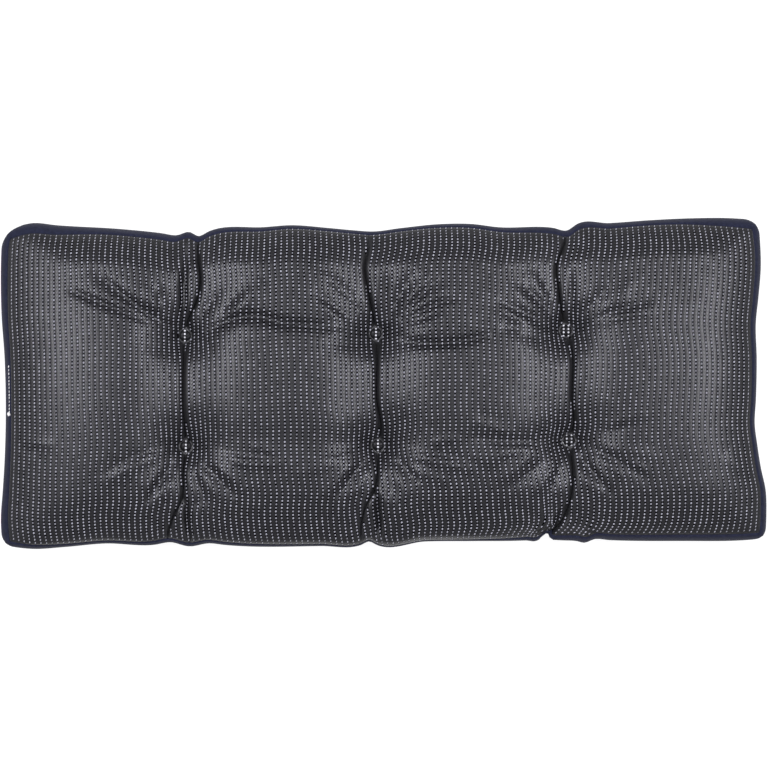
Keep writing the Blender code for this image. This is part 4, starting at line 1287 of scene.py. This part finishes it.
class CUSHION_OT_closing(bpy.types.Operator):
    """Sew the closing on the left seam by hand, with its knot"""

    bl_idname = "cushion.closing"
    bl_label = "Closing stitches"

    def execute(self, context):
        draw = np.random.default_rng(CLOSING_SEED)
        ys = np.linspace(CLOSING_START, CLOSING_END, CLOSING_STITCHES)
        ys = ys + draw.uniform(-CLOSING_STRAY, CLOSING_STRAY, CLOSING_STITCHES)
        places, up = seam_places(ys, CLOSING_OUT)
        lean = draw.uniform(*CLOSING_LEAN, CLOSING_STITCHES)
        axis = np.stack([lean, np.ones_like(lean), np.zeros_like(lean)], axis=-1)
        axis -= up * np.sum(axis * up, axis=1, keepdims=True)
        axis /= np.linalg.norm(axis, axis=1, keepdims=True)
        size = draw.uniform(*CLOSING_UNEVEN, CLOSING_STITCHES)
        thread = shared_material("cotton_thread", thread_material)
        sewn = stitches_on("closing_stitches", places + up * CLOSING_RISE, axis, up, size, thread,
                           CLOSING_SEED, CLOSING_STITCH)
        finish_piece(sewn, "closing_thread")
        centre, knot_up = seam_places(np.array([CLOSING_END - KNOT_BEYOND]), CLOSING_OUT)
        path = knot_points(centre[0] + knot_up[0] * KNOT_RISE, knot_up[0])
        knot = new_object("closing_knot", thread_mesh("closing_knot", path), thread)
        finish_piece(knot, "closing_thread")
        return {"FINISHED"}


class CUSHION_OT_stage(bpy.types.Operator):
    """Set a light table as the pale floor, two softboxes and the camera straight above"""

    bl_idname = "cushion.stage"
    bl_label = "Studio"

    def execute(self, context):
        scene = context.scene
        half = FLOOR_SIZE / 2
        mesh = bpy.data.meshes.new("floor")
        corners = [(-half, -half, -FLOOR_DROP), (half, -half, -FLOOR_DROP),
                   (half, half, -FLOOR_DROP), (-half, half, -FLOOR_DROP)]
        mesh.from_pydata(corners, [], [(0, 1, 2, 3)])
        new_object("floor", mesh, shared_material("opal_acrylic", floor_material))
        for side in ("left", "right"):
            light = bpy.data.lights.new("softbox_" + side, "AREA")
            light.shape = "RECTANGLE"
            light.size, light.size_y = SOFTBOX_SIZE
            light.energy = SOFTBOX_POWER[side]
            light.color = SOFTBOX_COLOUR
            softbox = bpy.data.objects.new("softbox_" + side, light)
            softbox.location = SOFTBOX_PLACE[side]
            softbox.rotation_euler = (radians(-SOFTBOX_LEAN[side]), radians(SOFTBOX_TURN[side]), 0)
            scene.collection.objects.link(softbox)
        world = bpy.data.worlds.new("studio")
        world.use_nodes = True
        background = world.node_tree.nodes["Background"]
        background.inputs["Color"].default_value = WORLD_COLOUR
        background.inputs["Strength"].default_value = WORLD_STRENGTH
        scene.world = world
        lens = bpy.data.cameras.new("camera")
        lens.lens, lens.sensor_width = CAMERA_LENS, CAMERA_SENSOR
        camera = bpy.data.objects.new("camera", lens)
        height = GIRTH_HEIGHT + VIEW_WIDTH * CAMERA_LENS / CAMERA_SENSOR
        camera.location = (*CAMERA_CENTRE, height)
        scene.collection.objects.link(camera)
        scene.camera = camera
        scene.view_settings.view_transform = "Standard"
        return {"FINISHED"}


class CUSHION_PT_sidebar(bpy.types.Panel):
    """Sizes, colours and steps of the cushion"""

    bl_idname = "CUSHION_PT_sidebar"
    bl_label = "Tufted bench cushion"
    bl_space_type = "VIEW_3D"
    bl_region_type = "UI"
    bl_category = "Cushion"

    def draw(self, context):
        for group in (context.scene.cloth_sizes, context.scene.cushion_colours):
            box = self.layout.box()
            for name in group.__annotations__:
                box.prop(group, name)
        for operator in OPERATORS:
            self.layout.operator(operator.bl_idname)


OPERATORS = (
    CUSHION_OT_cover,
    CUSHION_OT_rib_stitches,
    CUSHION_OT_buttons,
    CUSHION_OT_closing,
    CUSHION_OT_stage,
)
CLASSES = (ClothSizes, CushionColours, *OPERATORS, CUSHION_PT_sidebar)


def register():
    for made in CLASSES:
        bpy.utils.register_class(made)
    bpy.types.Scene.cloth_sizes = bpy.props.PointerProperty(type=ClothSizes)
    bpy.types.Scene.cushion_colours = bpy.props.PointerProperty(type=CushionColours)


def unregister():
    del bpy.types.Scene.cushion_colours
    del bpy.types.Scene.cloth_sizes
    for made in reversed(CLASSES):
        bpy.utils.unregister_class(made)


def main():
    register()
    bpy.ops.cushion.cover()
    bpy.ops.cushion.rib_stitches()
    bpy.ops.cushion.buttons()
    bpy.ops.cushion.closing()
    bpy.ops.cushion.stage()


if __name__ == "__main__":
    main()
